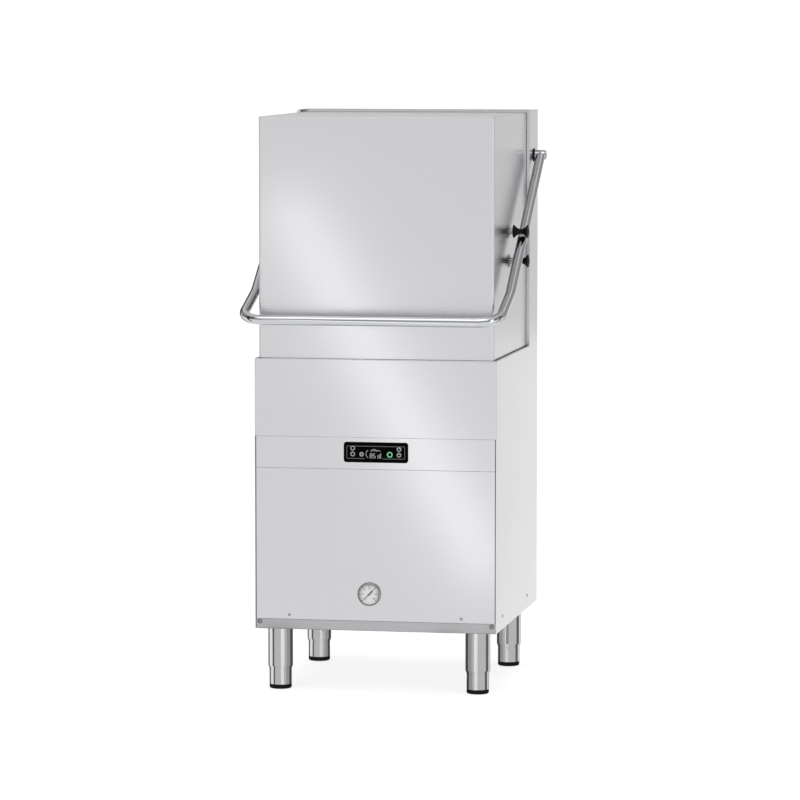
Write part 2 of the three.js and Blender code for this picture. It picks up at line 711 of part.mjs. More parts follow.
function hood() {
  const front = [HOOD_FRONT, HOOD_FRONT + SHEET];
  add('hood_front', block(about(HOOD_HALF), front, [HOOD_BOTTOM, HOOD_TOP]), STEEL);
  const topSpan = [HOOD_FRONT + SHEET + FIT, HOOD_BACK];
  add('hood_top', block(about(HOOD_HALF), topSpan, [HOOD_TOP - SHEET, HOOD_TOP]), STEEL);
  hoodSide('hood_side_right', 1);
  hoodSide('hood_side_left', -1);
}

// An hourglass roller: wide at both ends and narrow in the middle, where the tube runs.
function roller(name, side, centre) {
  const [x0, x1] = onSide(side, ROLLER_X);
  const middle = (x0 + x1) / 2;
  const half = (x1 - x0) / 2;
  const steps = 6;
  const outline = [[ROLLER_BORE, x0]];
  for (let i = 0; i <= steps; i += 1) {
    const u = (2 * i) / steps - 1;
    const r = ROLLER_WAIST + (ROLLER_R - ROLLER_WAIST) * u * u;
    outline.push([r, middle + half * u]);
  }
  outline.push([ROLLER_BORE, x1], [ROLLER_BORE, x0]);
  add(name, turned('x', outline, centre, 14), BLACK_PLASTIC);
}

// ---- handle --------------------------------------------------------------------------------

// One tube from pivot to pivot, with a boss at each end and a drain hole under the bar.
function handle() {
  const run = [
    [-ARM_X, PIVOT.y, PIVOT.z], [-ARM_X, KNEE.y, KNEE.z, KNEE_BEND], [-ARM_X, BAR.y, BAR.z, BAR_BEND],
    [ARM_X, BAR.y, BAR.z, BAR_BEND], [ARM_X, KNEE.y, KNEE.z, KNEE_BEND], [ARM_X, PIVOT.y, PIVOT.z],
  ];
  const tube = bentTube(run, TUBE_R, { wall: TUBE_WALL, sides: 12, stepsPerBend: 4 });
  const bosses = [1, -1].map((side) => rod('x', BOSS_R, onSide(side, BOSS_X), PIVOT));
  const bore = rod('x', SHAFT_R + FIT, about(BOSS_X[1] + 1), PIVOT);
  const drain = rod('z', 2, [BAR.z - TUBE_R - 1, BAR.z], { y: BAR.y }, 8);
  add('handle_tube', cut(join(tube, ...bosses), bore, drain), POLISHED);
}

// The shaft through the column, with the two cranks that the springs pull on.
function pivotShaft() {
  const shaft = rod('x', SHAFT_R, about(BOSS_X[1] + 1), PIVOT);
  const capSpan = [BOSS_X[1] + FIT, BOSS_X[1] + 2.5];
  const caps = [1, -1].map((side) => rod('x', 10, onSide(side, capSpan), PIVOT));
  const tip = {
    y: PIVOT.y + CRANK_LENGTH * Math.cos(CRANK_ANGLE),
    z: PIVOT.z + CRANK_LENGTH * Math.sin(CRANK_ANGLE),
  };
  const cranks = [1, -1].flatMap((side) => [
    crankPlate(onSide(side, CRANK_X), tip),
    rod('x', 4, onSide(side, [CRANK_X[0] - 14, CRANK_X[0] + 1]), tip, 12),
  ]);
  add('pivot_shaft', join(shaft, ...caps, ...cranks), STEEL_DARK);
}

function crankPlate(span, tip) {
  const width = 11;
  const across = { y: -Math.sin(CRANK_ANGLE) * width, z: Math.cos(CRANK_ANGLE) * width };
  return sidePlate([
    [PIVOT.y - across.y, PIVOT.z - across.z], [tip.y - across.y * 0.6, tip.z - across.z * 0.6],
    [tip.y + across.y * 0.6, tip.z + across.z * 0.6], [PIVOT.y + across.y, PIVOT.z + across.z],
  ], span);
}

function pivotBush(name, side) {
  const bore = SHAFT_R + FIT;
  const along = [300, 310 + FIT, 312.6].map((x) => side * x);
  const outline = [
    [bore, along[0]], [11.6, along[0]], [11.6, along[1]], [17, along[1]], [17, along[2]],
    [bore, along[2]], [bore, along[0]],
  ];
  add(name, turned('x', outline, PIVOT, 16), BLACK_PLASTIC);
}

// A tension spring, drawn as the cylinder that its coils fill, with a straight hook each end.
function liftSpring(name, side) {
  const x = side * (CRANK_X[0] - 8);
  const y = PIVOT.y + CRANK_LENGTH * Math.cos(CRANK_ANGLE);
  const bottom = SPRING_ANCHOR_Z + 4.4;
  const top = PIVOT.z + CRANK_LENGTH * Math.sin(CRANK_ANGLE) - 4.4;
  const coils = rod('z', SPRING_R, [bottom + 25, top - 25], { x, y }, 16);
  const hooks = rod('z', 2.5, [bottom, top], { x, y }, 8);
  add(name, join(coils, hooks), STEEL_DARK);
}

// ---- assembly ------------------------------------------------------------------------------

const SIDES = { right: 1, left: -1 };

baseFrame();
plinth();
frontPanels();
backPanels();
washTank();
filterTray();
overflowStandpipe();
rackGuide();
tankElement();
washManifold();
sprayArms();
washPump();
suctionPipe();
rinseBoiler();
electricalBox();
chemicalDoser();
services();
controlPanel();
thermometer();
hood();
handle();
pivotShaft();
for (const [place, side] of Object.entries(SIDES)) {
  sidePanel(`side_panel_${place}`, side);
  hoodGuide(`hood_guide_${place}`, side);
  pivotBush(`pivot_bush_${place}`, side);
  liftSpring(`lift_spring_${place}`, side);
  leg(`front_${place}`, side * LEG_X, LEG_Y.front);
  leg(`rear_${place}`, side * LEG_X, LEG_Y.rear);
  roller(`roller_upper_${place}`, side, ROLLERS.upper);
  roller(`roller_lower_${place}`, side, ROLLERS.lower);
}

// The handle's bar stands in front of the cabinet, so the object's middle lies forward of it.
const frontOfAll = BAR.y - TUBE_R;
machine.position.y = -(frontOfAll + DEPTH) / 2;

export default machine;
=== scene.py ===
import math

import bmesh
import bpy
from mathutils import Matrix, Vector


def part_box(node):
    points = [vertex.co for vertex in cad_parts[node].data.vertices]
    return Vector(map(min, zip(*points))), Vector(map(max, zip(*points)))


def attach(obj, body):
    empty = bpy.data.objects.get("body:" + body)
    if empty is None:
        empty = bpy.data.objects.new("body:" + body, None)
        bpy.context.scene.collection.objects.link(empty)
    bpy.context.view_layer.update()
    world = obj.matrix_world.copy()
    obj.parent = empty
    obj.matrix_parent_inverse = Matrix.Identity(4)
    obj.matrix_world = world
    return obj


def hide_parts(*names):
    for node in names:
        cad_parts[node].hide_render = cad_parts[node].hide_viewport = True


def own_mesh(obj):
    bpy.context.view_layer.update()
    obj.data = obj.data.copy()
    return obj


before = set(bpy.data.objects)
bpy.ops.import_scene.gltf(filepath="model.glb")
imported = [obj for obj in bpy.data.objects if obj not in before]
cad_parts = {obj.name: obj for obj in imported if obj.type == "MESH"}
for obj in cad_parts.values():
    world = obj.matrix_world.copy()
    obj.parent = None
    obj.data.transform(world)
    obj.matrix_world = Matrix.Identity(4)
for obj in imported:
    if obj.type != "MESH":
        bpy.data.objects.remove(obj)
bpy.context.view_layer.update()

# A hood-type commercial dishwasher. Metres, +Z up, +Y towards the column at the back.
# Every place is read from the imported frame; the values below are finish and small detail.

MM = 0.001

# ---- camera ----

CAMERA_PLACE = (2.0959, -11.1628, 1.7285)
CAMERA_TURN = math.radians(10.581)      # from straight ahead, towards the machine's left
CAMERA_TILT = math.radians(5.073)       # down
SENSOR = 36.0
LENS = 198.83
CLIP_END = 200
VIEW_BEARING = 10.6             # degrees; the legs' streaks are set out from the camera's bearing

# ---- sheets and folds ----

SHEET = 1.5 * MM
CORNER_R = 3.0 * MM             # folded vertical corners of the cabinet
HOOD_R = 2.6 * MM               # folded edges of the hood
HOOD_CORNER_R = 5.5 * MM        # its folded upright corners
PANEL_R = 1.0 * MM              # folded edges of the front panels
SEAM_R = 0.3 * MM               # tight edges where two panels nearly touch
PANEL_GAP = 0.3 * MM            # how far a panel's upper edge reaches into the seam above it
PANEL_LIP = (0.5 * MM, 0.9 * MM)  # depth and height of the slope along its upper edge
ROUND_STEPS = 5
TURN_STEPS = 64
FLANGE_R = 2.2 * MM             # fold of the column's front edges
LID_GAP = 2.2 * MM              # from the hood's back to the lip of the column's lid

# ---- screws, slots and plates ----

PANEL_SCREW = (0.221, 0.037)    # from the machine's middle, and above the cabinet's foot
PLINTH_SCREW = (0.2985, 0.018)
SIDE_SCREW_Y = {"front": 0.1, "rear": 0.503}    # behind the cabinet's front
SIDE_SCREW_UP = 0.033
REAR_SCREWS = 6                 # on each side of the rear panel
REAR_SCREW_IN = 0.014
REAR_SCREW_MARGIN = 0.04
SLOT_GROUPS = (-0.15, 0.15)
SLOT_COUNT = 9
SLOT_SIZE = (0.13, 0.007)
SLOT_FIRST = 0.10               # above the cabinet's foot
SLOT_PITCH = 0.022
REAR_FACE_IN = 2.2 * MM         # from the back of the CAD's panel to the sheet's face
PLATE_LOW = (0.12, 0.62)        # corners of the blank plate on the back
PLATE_HIGH = (0.22, 0.68)

# ---- control panel ----

FRAME_HALF = (75 * MM, 16.5 * MM)
LEFT_MARKS = (-0.0592, 0.0104), (-0.0592, -0.0045)          # from the plate's middle
RIGHT_MARKS = (0.0597, 0.0088), (0.0597, -0.0055)
SEGMENTS = {"5": "acdfg", "8": "abcdefg"}
FIGURES = (("8", -6.5), ("5", 1.5))     # figure and its place across the display, in mm
FIGURE_HEIGHT = 11 * MM
FIGURE_DOWN = 5.5 * MM
DISPLAY_BOWS = [(1.0, 2.0, 9.5, 20, 160), (-7.5, -1.0, 12.5, 125, 235), (12, 1.0, 8.0, 40, 140)]

# ---- thermometer ----

DIAL_START = 225                # degrees from +X at the lowest reading, anticlockwise
DIAL_SWEEP = 270
DIAL_STEPS = 60
DIAL_NUMBERS = 7
DIAL_NUMBER_STEP = 20
DIAL_RIM = 2.5 * MM             # from the bezel's outside to its bore
NEEDLE_REACH = 20 * MM
WEIGHT_REACH = 10 * MM
WEIGHT_R = 2.3 * MM

# ---- legs, rollers and handle ----

LEG_PLACES = ("front_left", "front_right", "rear_left", "rear_right")
SLEEVE_BORE_TOP = 90 * MM       # above the sleeve's lower end
PAD_TOP = 10.5 * MM
ROLLER_WAIST_R = 6.2 * MM
ROLLER_LIP = 2.6 * MM
ROLLER_BORE_R = 4.6 * MM
ROLLER_STEPS = 18
TUBE_R = 12.45 * MM
CAD_TUBE_R = 12.5 * MM
BAR_BEND = 56 * MM
KNEE_BEND = 120 * MM
KNEE_BACK = 100 * MM            # from the cabinet's front plane to the bend in the arm
KNEE_UP = 61 * MM               # from the bar to the bend in the arm
ARM_X = 0.328
BOSS_R = 13.4 * MM

# ---- inside the machine ----

SPRING_WIRE_R = 1.7 * MM
SPRING_HOOK = 25 * MM
SPRING_TURNS = 60
SPRING_STEPS = 14               # points in each turn
NOZZLE_IN = 0.05                # from the post to the first nozzle
NOZZLE_END = 0.02               # from the last nozzle to the arm's end
WASH_NOZZLES = 5                # on each half of an arm
RINSE_NOZZLES = 7
HOLES_PER_METRE = 160

# ---- studio ----

SKY_STRENGTH = 2.2
# Brightness of the surround by height (0 level, 1 straight up), halved to stay within a ramp.
SKY_BY_HEIGHT = [(0.0, 0.55), (0.04, 0.55), (0.12, 0.22), (0.45, 0.18), (0.70, 0.70), (1.0, 0.80)]
# Share of that brightness by bearing: 0 and 1 are the machine's left (-X), 0.25 its front,
# 0.5 its right, 0.75 behind it.
SKY_BY_BEARING = [(0.0, 0.35), (0.10, 0.25), (0.16, 0.95), (0.34, 0.95), (0.40, 0.35),
                  (0.50, 0.6), (0.56, 0.20), (0.66, 0.9), (0.90, 0.9), (0.96, 0.3)]
SKY_FADE = [(0.0, 0.0), (0.02, 0.0), (0.08, 1.0), (1.0, 1.0)]     # the bands fade out at the horizon
FLOOR_SIZE = 60
FLOOR_GLOW = 0.78
FLOOR_DROP = 0.0005
STRIP_POWER = 0.33
STRIP_FROM = Vector((-0.46, -1.29, 1.22))
STRIP_TO = Vector((0.14, -1.29, 0.16))
STRIP_WIDTH = 0.10
SOFTBOX_POWER = 30.0
SOFTBOX_PLACE = (0, -0.5, 4.2)
SOFTBOX_SIZE = (4, 4)

# Cards standing on the floor: bearing in degrees from straight ahead (positive to the right),
# distance, width, height and brightness.
UPRIGHT_CARDS = {
    "key_card": (55, 3.0, 0.7, 2.6, 1.8),
    "left_card": (-63, 1.5, 0.24, 1.9, 0.02),
    "right_card": (84, 1.4, 0.22, 1.9, 0.10),
    "rear_right_card": (134, 1.4, 0.6, 1.9, 0.40),
    "rear_left_card": (-128, 1.4, 0.8, 1.9, 0.10),
}
SIDE_CARD = 0.80
SIDE_CARD_X = (0.4, 3.2)
SIDE_CARD_Y = 4.5
SIDE_CARD_Z = (0.56, 3.4)

# Cards overhead, running from front to back: (from x, to x, brightness). The handle's arm shows them.
OVERHEAD_CARDS = [(-10.0, -2.6, 0.40), (-2.6, -1.1, 0.80), (-1.1, 0.15, 0.65), (0.15, 0.9, 0.42),
                  (0.9, 1.75, 0.90), (1.75, 3.0, 0.50), (3.0, 8.0, 0.50)]
OVERHEAD_Y = (-0.6, 8.0)
OVERHEAD_Z = 3.6

# Cards round a leg on the left: (from bearing, to bearing, brightness). The right ones mirror them.
LEG_CARDS = [(-160, -86, 0.20), (-72, -60, 0.16), (-60, 14, 0.66), (44, 66, 0.60), (66, 104, 0.40),
             (104, 165, 0.08)]
LEG_CARD_R = 0.13
LEG_CARD_INNER_R = 0.026
LEG_CARD_TOP = 0.15
LEG_CARD_FOOT = 0.0003
LEG_CARD_STEPS = 6
LEG_CARD_INSET = 4 * MM         # how far the cards stay inside the cabinet's sides

# ---- places from the frame ----


def low(node):
    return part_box(node)[0]


def high(node):
    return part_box(node)[1]


def middle(node):
    lowest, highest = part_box(node)
    return (lowest + highest) / 2


SIDE_X = high("side_panel_right").x
FRONT_Y = low("upper_front_panel").y
REAR_Y = high("rear_panel").y
BASE_Z = low("side_panel_right").z
RIM_Z = high("upper_front_panel").z
BAND_Z = low("upper_front_panel").z
COLUMN_Y = low("column_top_cap").y
COLUMN_Z = high("side_panel_right").z
HOOD_X = high("hood_top").x
HOOD_FRONT = low("hood_front").y
HOOD_BACK = high("hood_top").y
HOOD_LOW = low("hood_front").z
HOOD_TOP = high("hood_front").z
SIDES = {"right": 1, "left": -1}

# ---- building meshes ----


def add_object(name, data):
    obj = bpy.data.objects.new(name, data)
    bpy.context.scene.collection.objects.link(obj)
    return obj


def evaluated_mesh(obj):
    """The object's mesh with its modifiers applied, or its text as a mesh."""
    bpy.context.view_layer.update()
    return bpy.data.meshes.new_from_object(obj.evaluated_get(bpy.context.evaluated_depsgraph_get()))


def finish_mesh(bm, name, sharp_degrees):
    mesh = bpy.data.meshes.new(name)
    bm.normal_update()
    bm.to_mesh(mesh)
    bm.free()
    mesh.shade_smooth()
    mesh.set_sharp_from_angle(angle=math.radians(sharp_degrees))
    return mesh


def piece(name, bm, material, body="chassis", replaces=(), sharp=32, wall=0):
    """A finished piece: mesh, material, the body it rides on and the CAD nodes it stands for.

    An open sheet gets its wall inwards from the face that was drawn.
    """
    obj = add_object(name, finish_mesh(bm, name, sharp))
    obj.data.materials.append(material)
    if wall:
        modifier = obj.modifiers.new("wall", "SOLIDIFY")
        modifier.thickness = wall
        modifier.offset = -1
        modifier.use_even_offset = True
    shading = obj.modifiers.new("flat_faces_stay_flat", "WEIGHTED_NORMAL")
    shading.keep_sharp = True
    shading.weight = 100
    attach(obj, body)
    if replaces:
        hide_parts(*replaces)
    return obj


def grid_faces(bm, rows, close_rows=False, close_columns=False):
    """Joins rows of points into quads."""
    made = [[bm.verts.new(p) for p in row] for row in rows]
    last_row = len(made) if close_rows else len(made) - 1
    count = len(made[0])
    last_column = count if close_columns else count - 1
    for i in range(last_row):
        after = made[(i + 1) % len(made)]
        for k in range(last_column):
            n = (k + 1) % count
            bm.faces.new((made[i][k], made[i][n], after[n], after[k]))
    return made


def outward(bm):
    bmesh.ops.recalc_face_normals(bm, faces=bm.faces)
    return bm


def soften(bm, edges, radius, segments):
    bmesh.ops.bevel(bm, geom=edges, offset=radius, segments=segments, profile=0.5, affect="EDGES")


def rounded_box(lowest, highest, radius=0, segments=2):
    """A box between two corners, with its edges rounded where a radius is given."""
    bm = bmesh.new()
    bmesh.ops.create_cube(bm, size=1)
    size = Vector(highest) - Vector(lowest)
    centre = (Vector(highest) + Vector(lowest)) / 2
    bmesh.ops.transform(bm, matrix=Matrix.Diagonal((*size, 1)), verts=bm.verts)
    bmesh.ops.translate(bm, vec=centre, verts=bm.verts)
    if radius > 0:
        soften(bm, bm.edges[:], radius, segments)
    return bm


def joined(*parts):
    """One bmesh from several."""
    whole = bmesh.new()
    for part in parts:
        mesh = bpy.data.meshes.new("part")
        part.to_mesh(mesh)
        part.free()
        whole.from_mesh(mesh)
        bpy.data.meshes.remove(mesh)
    return whole


AXES = {
    "x": Matrix(((0, 0, 1), (1, 0, 0), (0, 1, 0))),
    "y": Matrix(((1, 0, 0), (0, 0, 1), (0, -1, 0))),
    "z": Matrix.Identity(3),
}


def turned(profile, axis, centre, steps=TURN_STEPS):
    """A turned piece: profile is [(radius, place along the axis), ...] measured from centre."""
    bm = bmesh.new()
    rows = []
    for i in range(steps):
        angle = 2 * math.pi * i / steps
        row = []
        for r, a in profile:
            point = Vector((r * math.cos(angle), r * math.sin(angle), a))
            row.append(AXES[axis] @ point + Vector(centre))
        rows.append(row)
    grid_faces(bm, rows, close_rows=True)
    bmesh.ops.remove_doubles(bm, verts=bm.verts, dist=1e-7)
    return outward(bm)


def arc(centre, radius, start, end, steps=ROUND_STEPS):
    """Points of an arc in a plane, from one angle to another in degrees."""
    points = []
    for i in range(steps + 1):
        angle = math.radians(start + (end - start) * i / steps)
        points.append((centre[0] + radius * math.cos(angle), centre[1] + radius * math.sin(angle)))
    return points


def bent_path(corners, steps=10):
    """Straight runs joined by round bends: corners are (point, bend radius)."""
    points = [Vector(p) for p, _ in corners]
    path = [points[0]]
    for i in range(1, len(points) - 1):
        radius = corners[i][1]
        back = (points[i - 1] - points[i]).normalized()
        on = (points[i + 1] - points[i]).normalized()
        half = back.angle(on) / 2
        centre = points[i] + (back + on).normalized() * (radius / math.sin(half))
        arm = points[i] + back * (radius / math.tan(half)) - centre
        axis = back.cross(on).normalized()
        for k in range(steps + 1):
            turn = Matrix.Rotation(-(math.pi - 2 * half) * k / steps, 3, axis)
            path.append(centre + turn @ arm)
    path.append(points[-1])
    return path


def tube(path, radius, sides):
    """A round bar along a path, with flat ends."""
    bm = bmesh.new()
    rows = []
    side = None
    for i, point in enumerate(path):
        before = path[max(i - 1, 0)]
        after = path[min(i + 1, len(path) - 1)]
        ahead = (after - before).normalized()
        if side is None:
            side = ahead.orthogonal().normalized()
        side = (side - ahead * side.dot(ahead)).normalized()
        up = ahead.cross(side)
        row = []
        for k in range(sides):
            angle = 2 * math.pi * k / sides
            row.append(point + side * (radius * math.cos(angle)) + up * (radius * math.sin(angle)))
        rows.append(row)
    made = grid_faces(bm, rows, close_columns=True)
    for end in (made[0], made[-1]):
        bm.faces.new(end)
    return outward(bm)


def prism(outline, axis, start, end):
    """A flat outline given thickness along an axis. Outline points are (y, z), (x, z) or (x, y)."""
    places = {
        "x": lambda a, b, c: (c, a, b),
        "y": lambda a, b, c: (a, c, b),
        "z": lambda a, b, c: (a, b, c),
    }[axis]
    bm = bmesh.new()
    near = [bm.verts.new(places(a, b, start)) for a, b in outline]
    far = [bm.verts.new(places(a, b, end)) for a, b in outline]
    bm.faces.new(near)
    bm.faces.new(far)
    for i in range(len(outline)):
        n = (i + 1) % len(outline)
        bm.faces.new((near[i], near[n], far[n], far[i]))
    return outward(bm)


def rounded_outline(x, z, width, height, corner, steps=6):
    w = width / 2 - corner
    h = height / 2 - corner
    points = []
    for k, (right, up) in enumerate(((1, 1), (-1, 1), (-1, -1), (1, -1))):
        points += arc((x + right * w, z + up * h), corner, 90 * k, 90 * k + 90, steps)
    return points


# ---- materials ----


def new_material(name):
    material = bpy.data.materials.new(name)
    material.use_nodes = True
    return material, material.node_tree, material.node_tree.nodes["Principled BSDF"]


def feed(tree, node, inputs):
    """Links each output that is given to the node's input; any other value is set on the socket itself."""
    for name, value in inputs.items():
        if isinstance(value, bpy.types.NodeSocket):
            tree.links.new(value, node.inputs[name])
        else:
            node.inputs[name].default_value = value
    return node


def new_node(tree, kind, inputs, **settings):
    node = tree.nodes.new(kind)
    for name, value in settings.items():
        setattr(node, name, value)
    return feed(tree, node, inputs)


def rgb(tone):
    """A tone is one grey level, or a colour."""
    return tone if isinstance(tone, tuple) else (tone, tone, tone)


def dimmed(tone, share):
    return tuple(share * c for c in rgb(tone))


def place_on_object(tree):
    return new_node(tree, "ShaderNodeTexCoord", {}).outputs["Object"]


def stretched_noise(tree, scale, detail):
    """Noise in object space, stretched by different scales along X, Y and Z."""
    mapping = new_node(tree, "ShaderNodeMapping", {"Vector": place_on_object(tree), "Scale": scale})
    inputs = {"Vector": mapping.outputs["Vector"], "Scale": 1.0, "Detail": detail}
    return new_node(tree, "ShaderNodeTexNoise", inputs).outputs["Fac"]


def ranged(tree, value, at_0, at_1):
    inputs = {"Value": value, "To Min": at_0, "To Max": at_1}
    return new_node(tree, "ShaderNodeMapRange", inputs).outputs["Result"]


def coloured(tree, value, dark, light):
    inputs = {"Factor": value, "A": (*rgb(dark), 1), "B": (*rgb(light), 1)}
    return new_node(tree, "ShaderNodeMix", inputs, data_type="RGBA").outputs["Result"]


def bumped(tree, height, strength, distance):
    inputs = {"Height": height, "Strength": strength, "Distance": distance}
    return new_node(tree, "ShaderNodeBump", inputs).outputs["Normal"]


def added(tree, first, second, factor):
    """first + second x factor."""
    inputs = {0: second, 1: factor, 2: first}
    return new_node(tree, "ShaderNodeMath", inputs, operation="MULTIPLY_ADD").outputs["Value"]


GRAIN_ALONG_X = (3, 900, 900)
GRAIN_ALONG_Z = (900, 900, 3)
CLOUD = (5, 5, 5)


def brushed_steel(name, tone, grain=GRAIN_ALONG_X, roughness=(0.19, 0.25)):
    """Satin sheet: long fine grain in colour, roughness and height, with faint handling clouds."""
    material, tree, shader = new_material(name)
    fine = stretched_noise(tree, grain, 3.0)
    mixed = added(tree, fine, stretched_noise(tree, CLOUD, 2.0), 0.35)
    feed(tree, shader, {
        "Base Color": coloured(tree, mixed, dimmed(tone, 0.94), tone),
        "Roughness": ranged(tree, mixed, *roughness),
        "Metallic": 1.0,
        "Normal": bumped(tree, fine, 0.10, 0.0004),
    })
    return material


def polished_steel(name, tone, roughness):
    """Bright metal with faint clouds in colour, roughness and height."""
    material, tree, shader = new_material(name)
    cloud = stretched_noise(tree, (60, 60, 60), 4.0)
    feed(tree, shader, {
        "Base Color": coloured(tree, cloud, dimmed(tone, 0.96), tone),
        "Roughness": ranged(tree, cloud, *roughness),
        "Metallic": 1.0,
        "Normal": bumped(tree, cloud, 0.04, 0.0003),
    })
    return material


def moulded(name, dark, light, roughness, grain=1400, bump=0.12, gloss=0.5):
    """Moulded plastic or rubber: a fine even grain."""
    material, tree, shader = new_material(name)
    fine = stretched_noise(tree, (grain, grain, grain), 2.0)
    feed(tree, shader, {
        "Base Color": coloured(tree, fine, dark, light),
        "Roughness": ranged(tree, fine, *roughness),
        "Specular IOR Level": gloss,
        "Normal": bumped(tree, fine, bump, 0.0002),
    })
    return material


def lit(name, colour, strength):
    """A mark that gives off light: lit figures and rings, and printed marks with a faint painted glow."""
    material, tree, shader = new_material(name)
    fine = stretched_noise(tree, (700, 700, 700), 1.0)
    feed(tree, shader, {
        "Base Color": coloured(tree, fine, dimmed(colour, 0.9), colour),
        "Roughness": 0.35,
        "Emission Color": (*colour, 1),
        "Emission Strength": strength,
    })
    return material


def clear_glass(name):
    material, tree, shader = new_material(name)
    cloud = stretched_noise(tree, (40, 40, 40), 2.0)
    feed(tree, shader, {
        "Base Color": (0.96, 0.98, 0.98, 1),
        "Roughness": ranged(tree, cloud, 0.02, 0.06),
        "Alpha": 0.06,
        "Specular IOR Level": 0.2,
    })
    return material


def perforated_steel(name):
    """Strainer sheet: rows of round holes, drawn dark as painted shade for the view through them."""
    material, tree, shader = new_material(name)
    inputs = {"Vector": place_on_object(tree), "Scale": HOLES_PER_METRE, "Randomness": 0.0}
    holes = new_node(tree, "ShaderNodeTexVoronoi", inputs)
    inputs = {0: holes.outputs["Distance"], 1: 0.34}
    metal = new_node(tree, "ShaderNodeMath", inputs, operation="GREATER_THAN").outputs["Value"]
    feed(tree, shader, {
        "Base Color": coloured(tree, metal, 0.02, (0.6, 0.6, 0.61)),
        "Roughness": ranged(tree, metal, 0.8, 0.35),
        "Metallic": 1.0,
    })
    return material


def glowing(name, base, brightness, gloss, roughness=0.5):
    """A studio surface that gives off white light."""
    material, tree, shader = new_material(name)
    feed(tree, shader, {
        "Base Color": (*rgb(base), 1),
        "Roughness": roughness,
        "Specular IOR Level": gloss,
        "Emission Color": (1, 1, 1, 1),
        "Emission Strength": brightness,
    })
    return material


STEEL_TONE = (0.60, 0.60, 0.615)
FRONT_STEEL = brushed_steel("front_steel", STEEL_TONE)
SIDE_STEEL = brushed_steel("side_steel", STEEL_TONE, GRAIN_ALONG_Z)
# A lighter copy of the sheet steel for the lid's lip: painted light over the shaded gap behind the hood's
# top.
LIP_STEEL_PAINTED_LIGHT = brushed_steel("lip_steel_painted_light", (0.76, 0.76, 0.77))
# The plinth's steel is a darker copy of the sheet steel: painted shade for the recessed strip under the
# panels.
PLINTH_STEEL_PAINTED_SHADE = brushed_steel("plinth_steel_painted_shade", (0.46, 0.46, 0.47), roughness=(0.32, 0.42))
INNER_STEEL = brushed_steel("inner_steel", (0.62, 0.62, 0.63), (40, 40, 40), (0.26, 0.4))
TUBE_STEEL = polished_steel("tube_steel", (0.56, 0.57, 0.58), (0.06, 0.10))
# The bezel's steel is much darker than the other polished steel: painted shade standing in for the dark
# reflections round the dial.
BEZEL_STEEL = polished_steel("bezel_steel", 0.30, (0.12, 0.18))
LEG_STEEL = polished_steel("leg_steel", (0.68, 0.68, 0.69), (0.09, 0.13))
SCREW_STEEL = polished_steel("screw_steel", (0.42, 0.42, 0.43), (0.25, 0.35))
BRASS = polished_steel("brass", (0.62, 0.48, 0.22), (0.25, 0.35))
BLACK_PLASTIC = moulded("black_plastic", 0.004, 0.009, (0.38, 0.5), gloss=0.12)
PAD_PLASTIC = moulded("pad_plastic", 0.006, 0.012, (0.5, 0.6), gloss=0.06)
CONTROL_BLACK = moulded("control_black", 0.001, 0.002, (0.22, 0.3), 900, 0.03, gloss=0.01)
DISPLAY_BLACK = moulded("display_black", 0.001, 0.002, (0.08, 0.14), 300, 0.0, gloss=0.01)
# Near-black: the needle's own dark cap, and painted shade in the ring round each plinth screw and in the
# lining inside the thermometer's bezel.
DARK_CAP_AND_PAINTED_SHADE = moulded("dark_cap_and_painted_shade", 0.02, 0.05, (0.4, 0.5), gloss=0.3)
INK = moulded("ink", 0.01, 0.02, (0.4, 0.5), gloss=0.1)
WHITE_PLASTIC = moulded("white_plastic", (0.74, 0.74, 0.71), (0.8, 0.8, 0.77), (0.4, 0.5))
GREY_PLASTIC = moulded("grey_plastic", (0.23, 0.24, 0.25), (0.28, 0.29, 0.3), (0.4, 0.5))
PUMP_PAINT = moulded("pump_paint", (0.15, 0.17, 0.19), (0.18, 0.2, 0.22), (0.4, 0.55), 300, 0.2)
DIAL_CREAM = moulded("dial_cream", (0.76, 0.75, 0.73), (0.82, 0.81, 0.79), (0.5, 0.6), 500, 0.02)
GAUGE_GLASS = clear_glass("gauge_glass_clear")
STRAINER_STEEL = perforated_steel("perforated_steel")
# The plate's symbols and the frame line are print, not lamps: their emission is a painted glow.
MARK_GREY = lit("mark_grey", (0.30, 0.31, 0.32), 0.15)
LINE_GREY = lit("line_grey", (0.09, 0.09, 0.095), 0.05)
SEGMENT_WHITE = lit("segment_white", (0.42, 0.45, 0.45), 0.25)
KEY_GREEN = lit("key_green", (0.13, 0.47, 0.24), 0.4)
KEY_GREY = lit("key_grey", (0.27, 0.28, 0.28), 0.1)


def dress(node, material, bevel=0.0, smooth=True):
    """Gives a carried-over CAD node its finish, and rounds its edges a little."""
    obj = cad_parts[node]
    obj.data.materials.clear()
    obj.data.materials.append(material)
    if bevel:
        modifier = obj.modifiers.new("edge", "BEVEL")
        modifier.width = bevel
        modifier.segments = 2
        modifier.limit_method = "ANGLE"
        modifier.angle_limit = math.radians(50)
        modifier.use_clamp_overlap = True
    if smooth:
        obj.data.shade_smooth()
        obj.data.set_sharp_from_angle(angle=math.radians(40))


# ---- cabinet ----


def u_path(half_x, front, back, radius, steps=ROUND_STEPS):
    """Plan view of a sheet folded round two front corners: ((x, y), outward normal) stations."""
    stations = [((-half_x, back), (-1, 0)), ((-half_x, front + radius), (-1, 0))]
    for side, start in ((-1, 180), (1, 270)):
        if side > 0:
            stations += [((-half_x + radius, front), (0, -1)), ((half_x - radius, front), (0, -1))]
        centre = (side * (half_x - radius), front + radius)
        for i in range(1, steps):
            angle = math.radians(start + 90 * i / steps)
            normal = (math.cos(angle), math.sin(angle))
            stations.append(((centre[0] + radius * normal[0], centre[1] + radius * normal[1]), normal))
    return stations + [((half_x, front + radius), (1, 0)), ((half_x, back), (1, 0))]


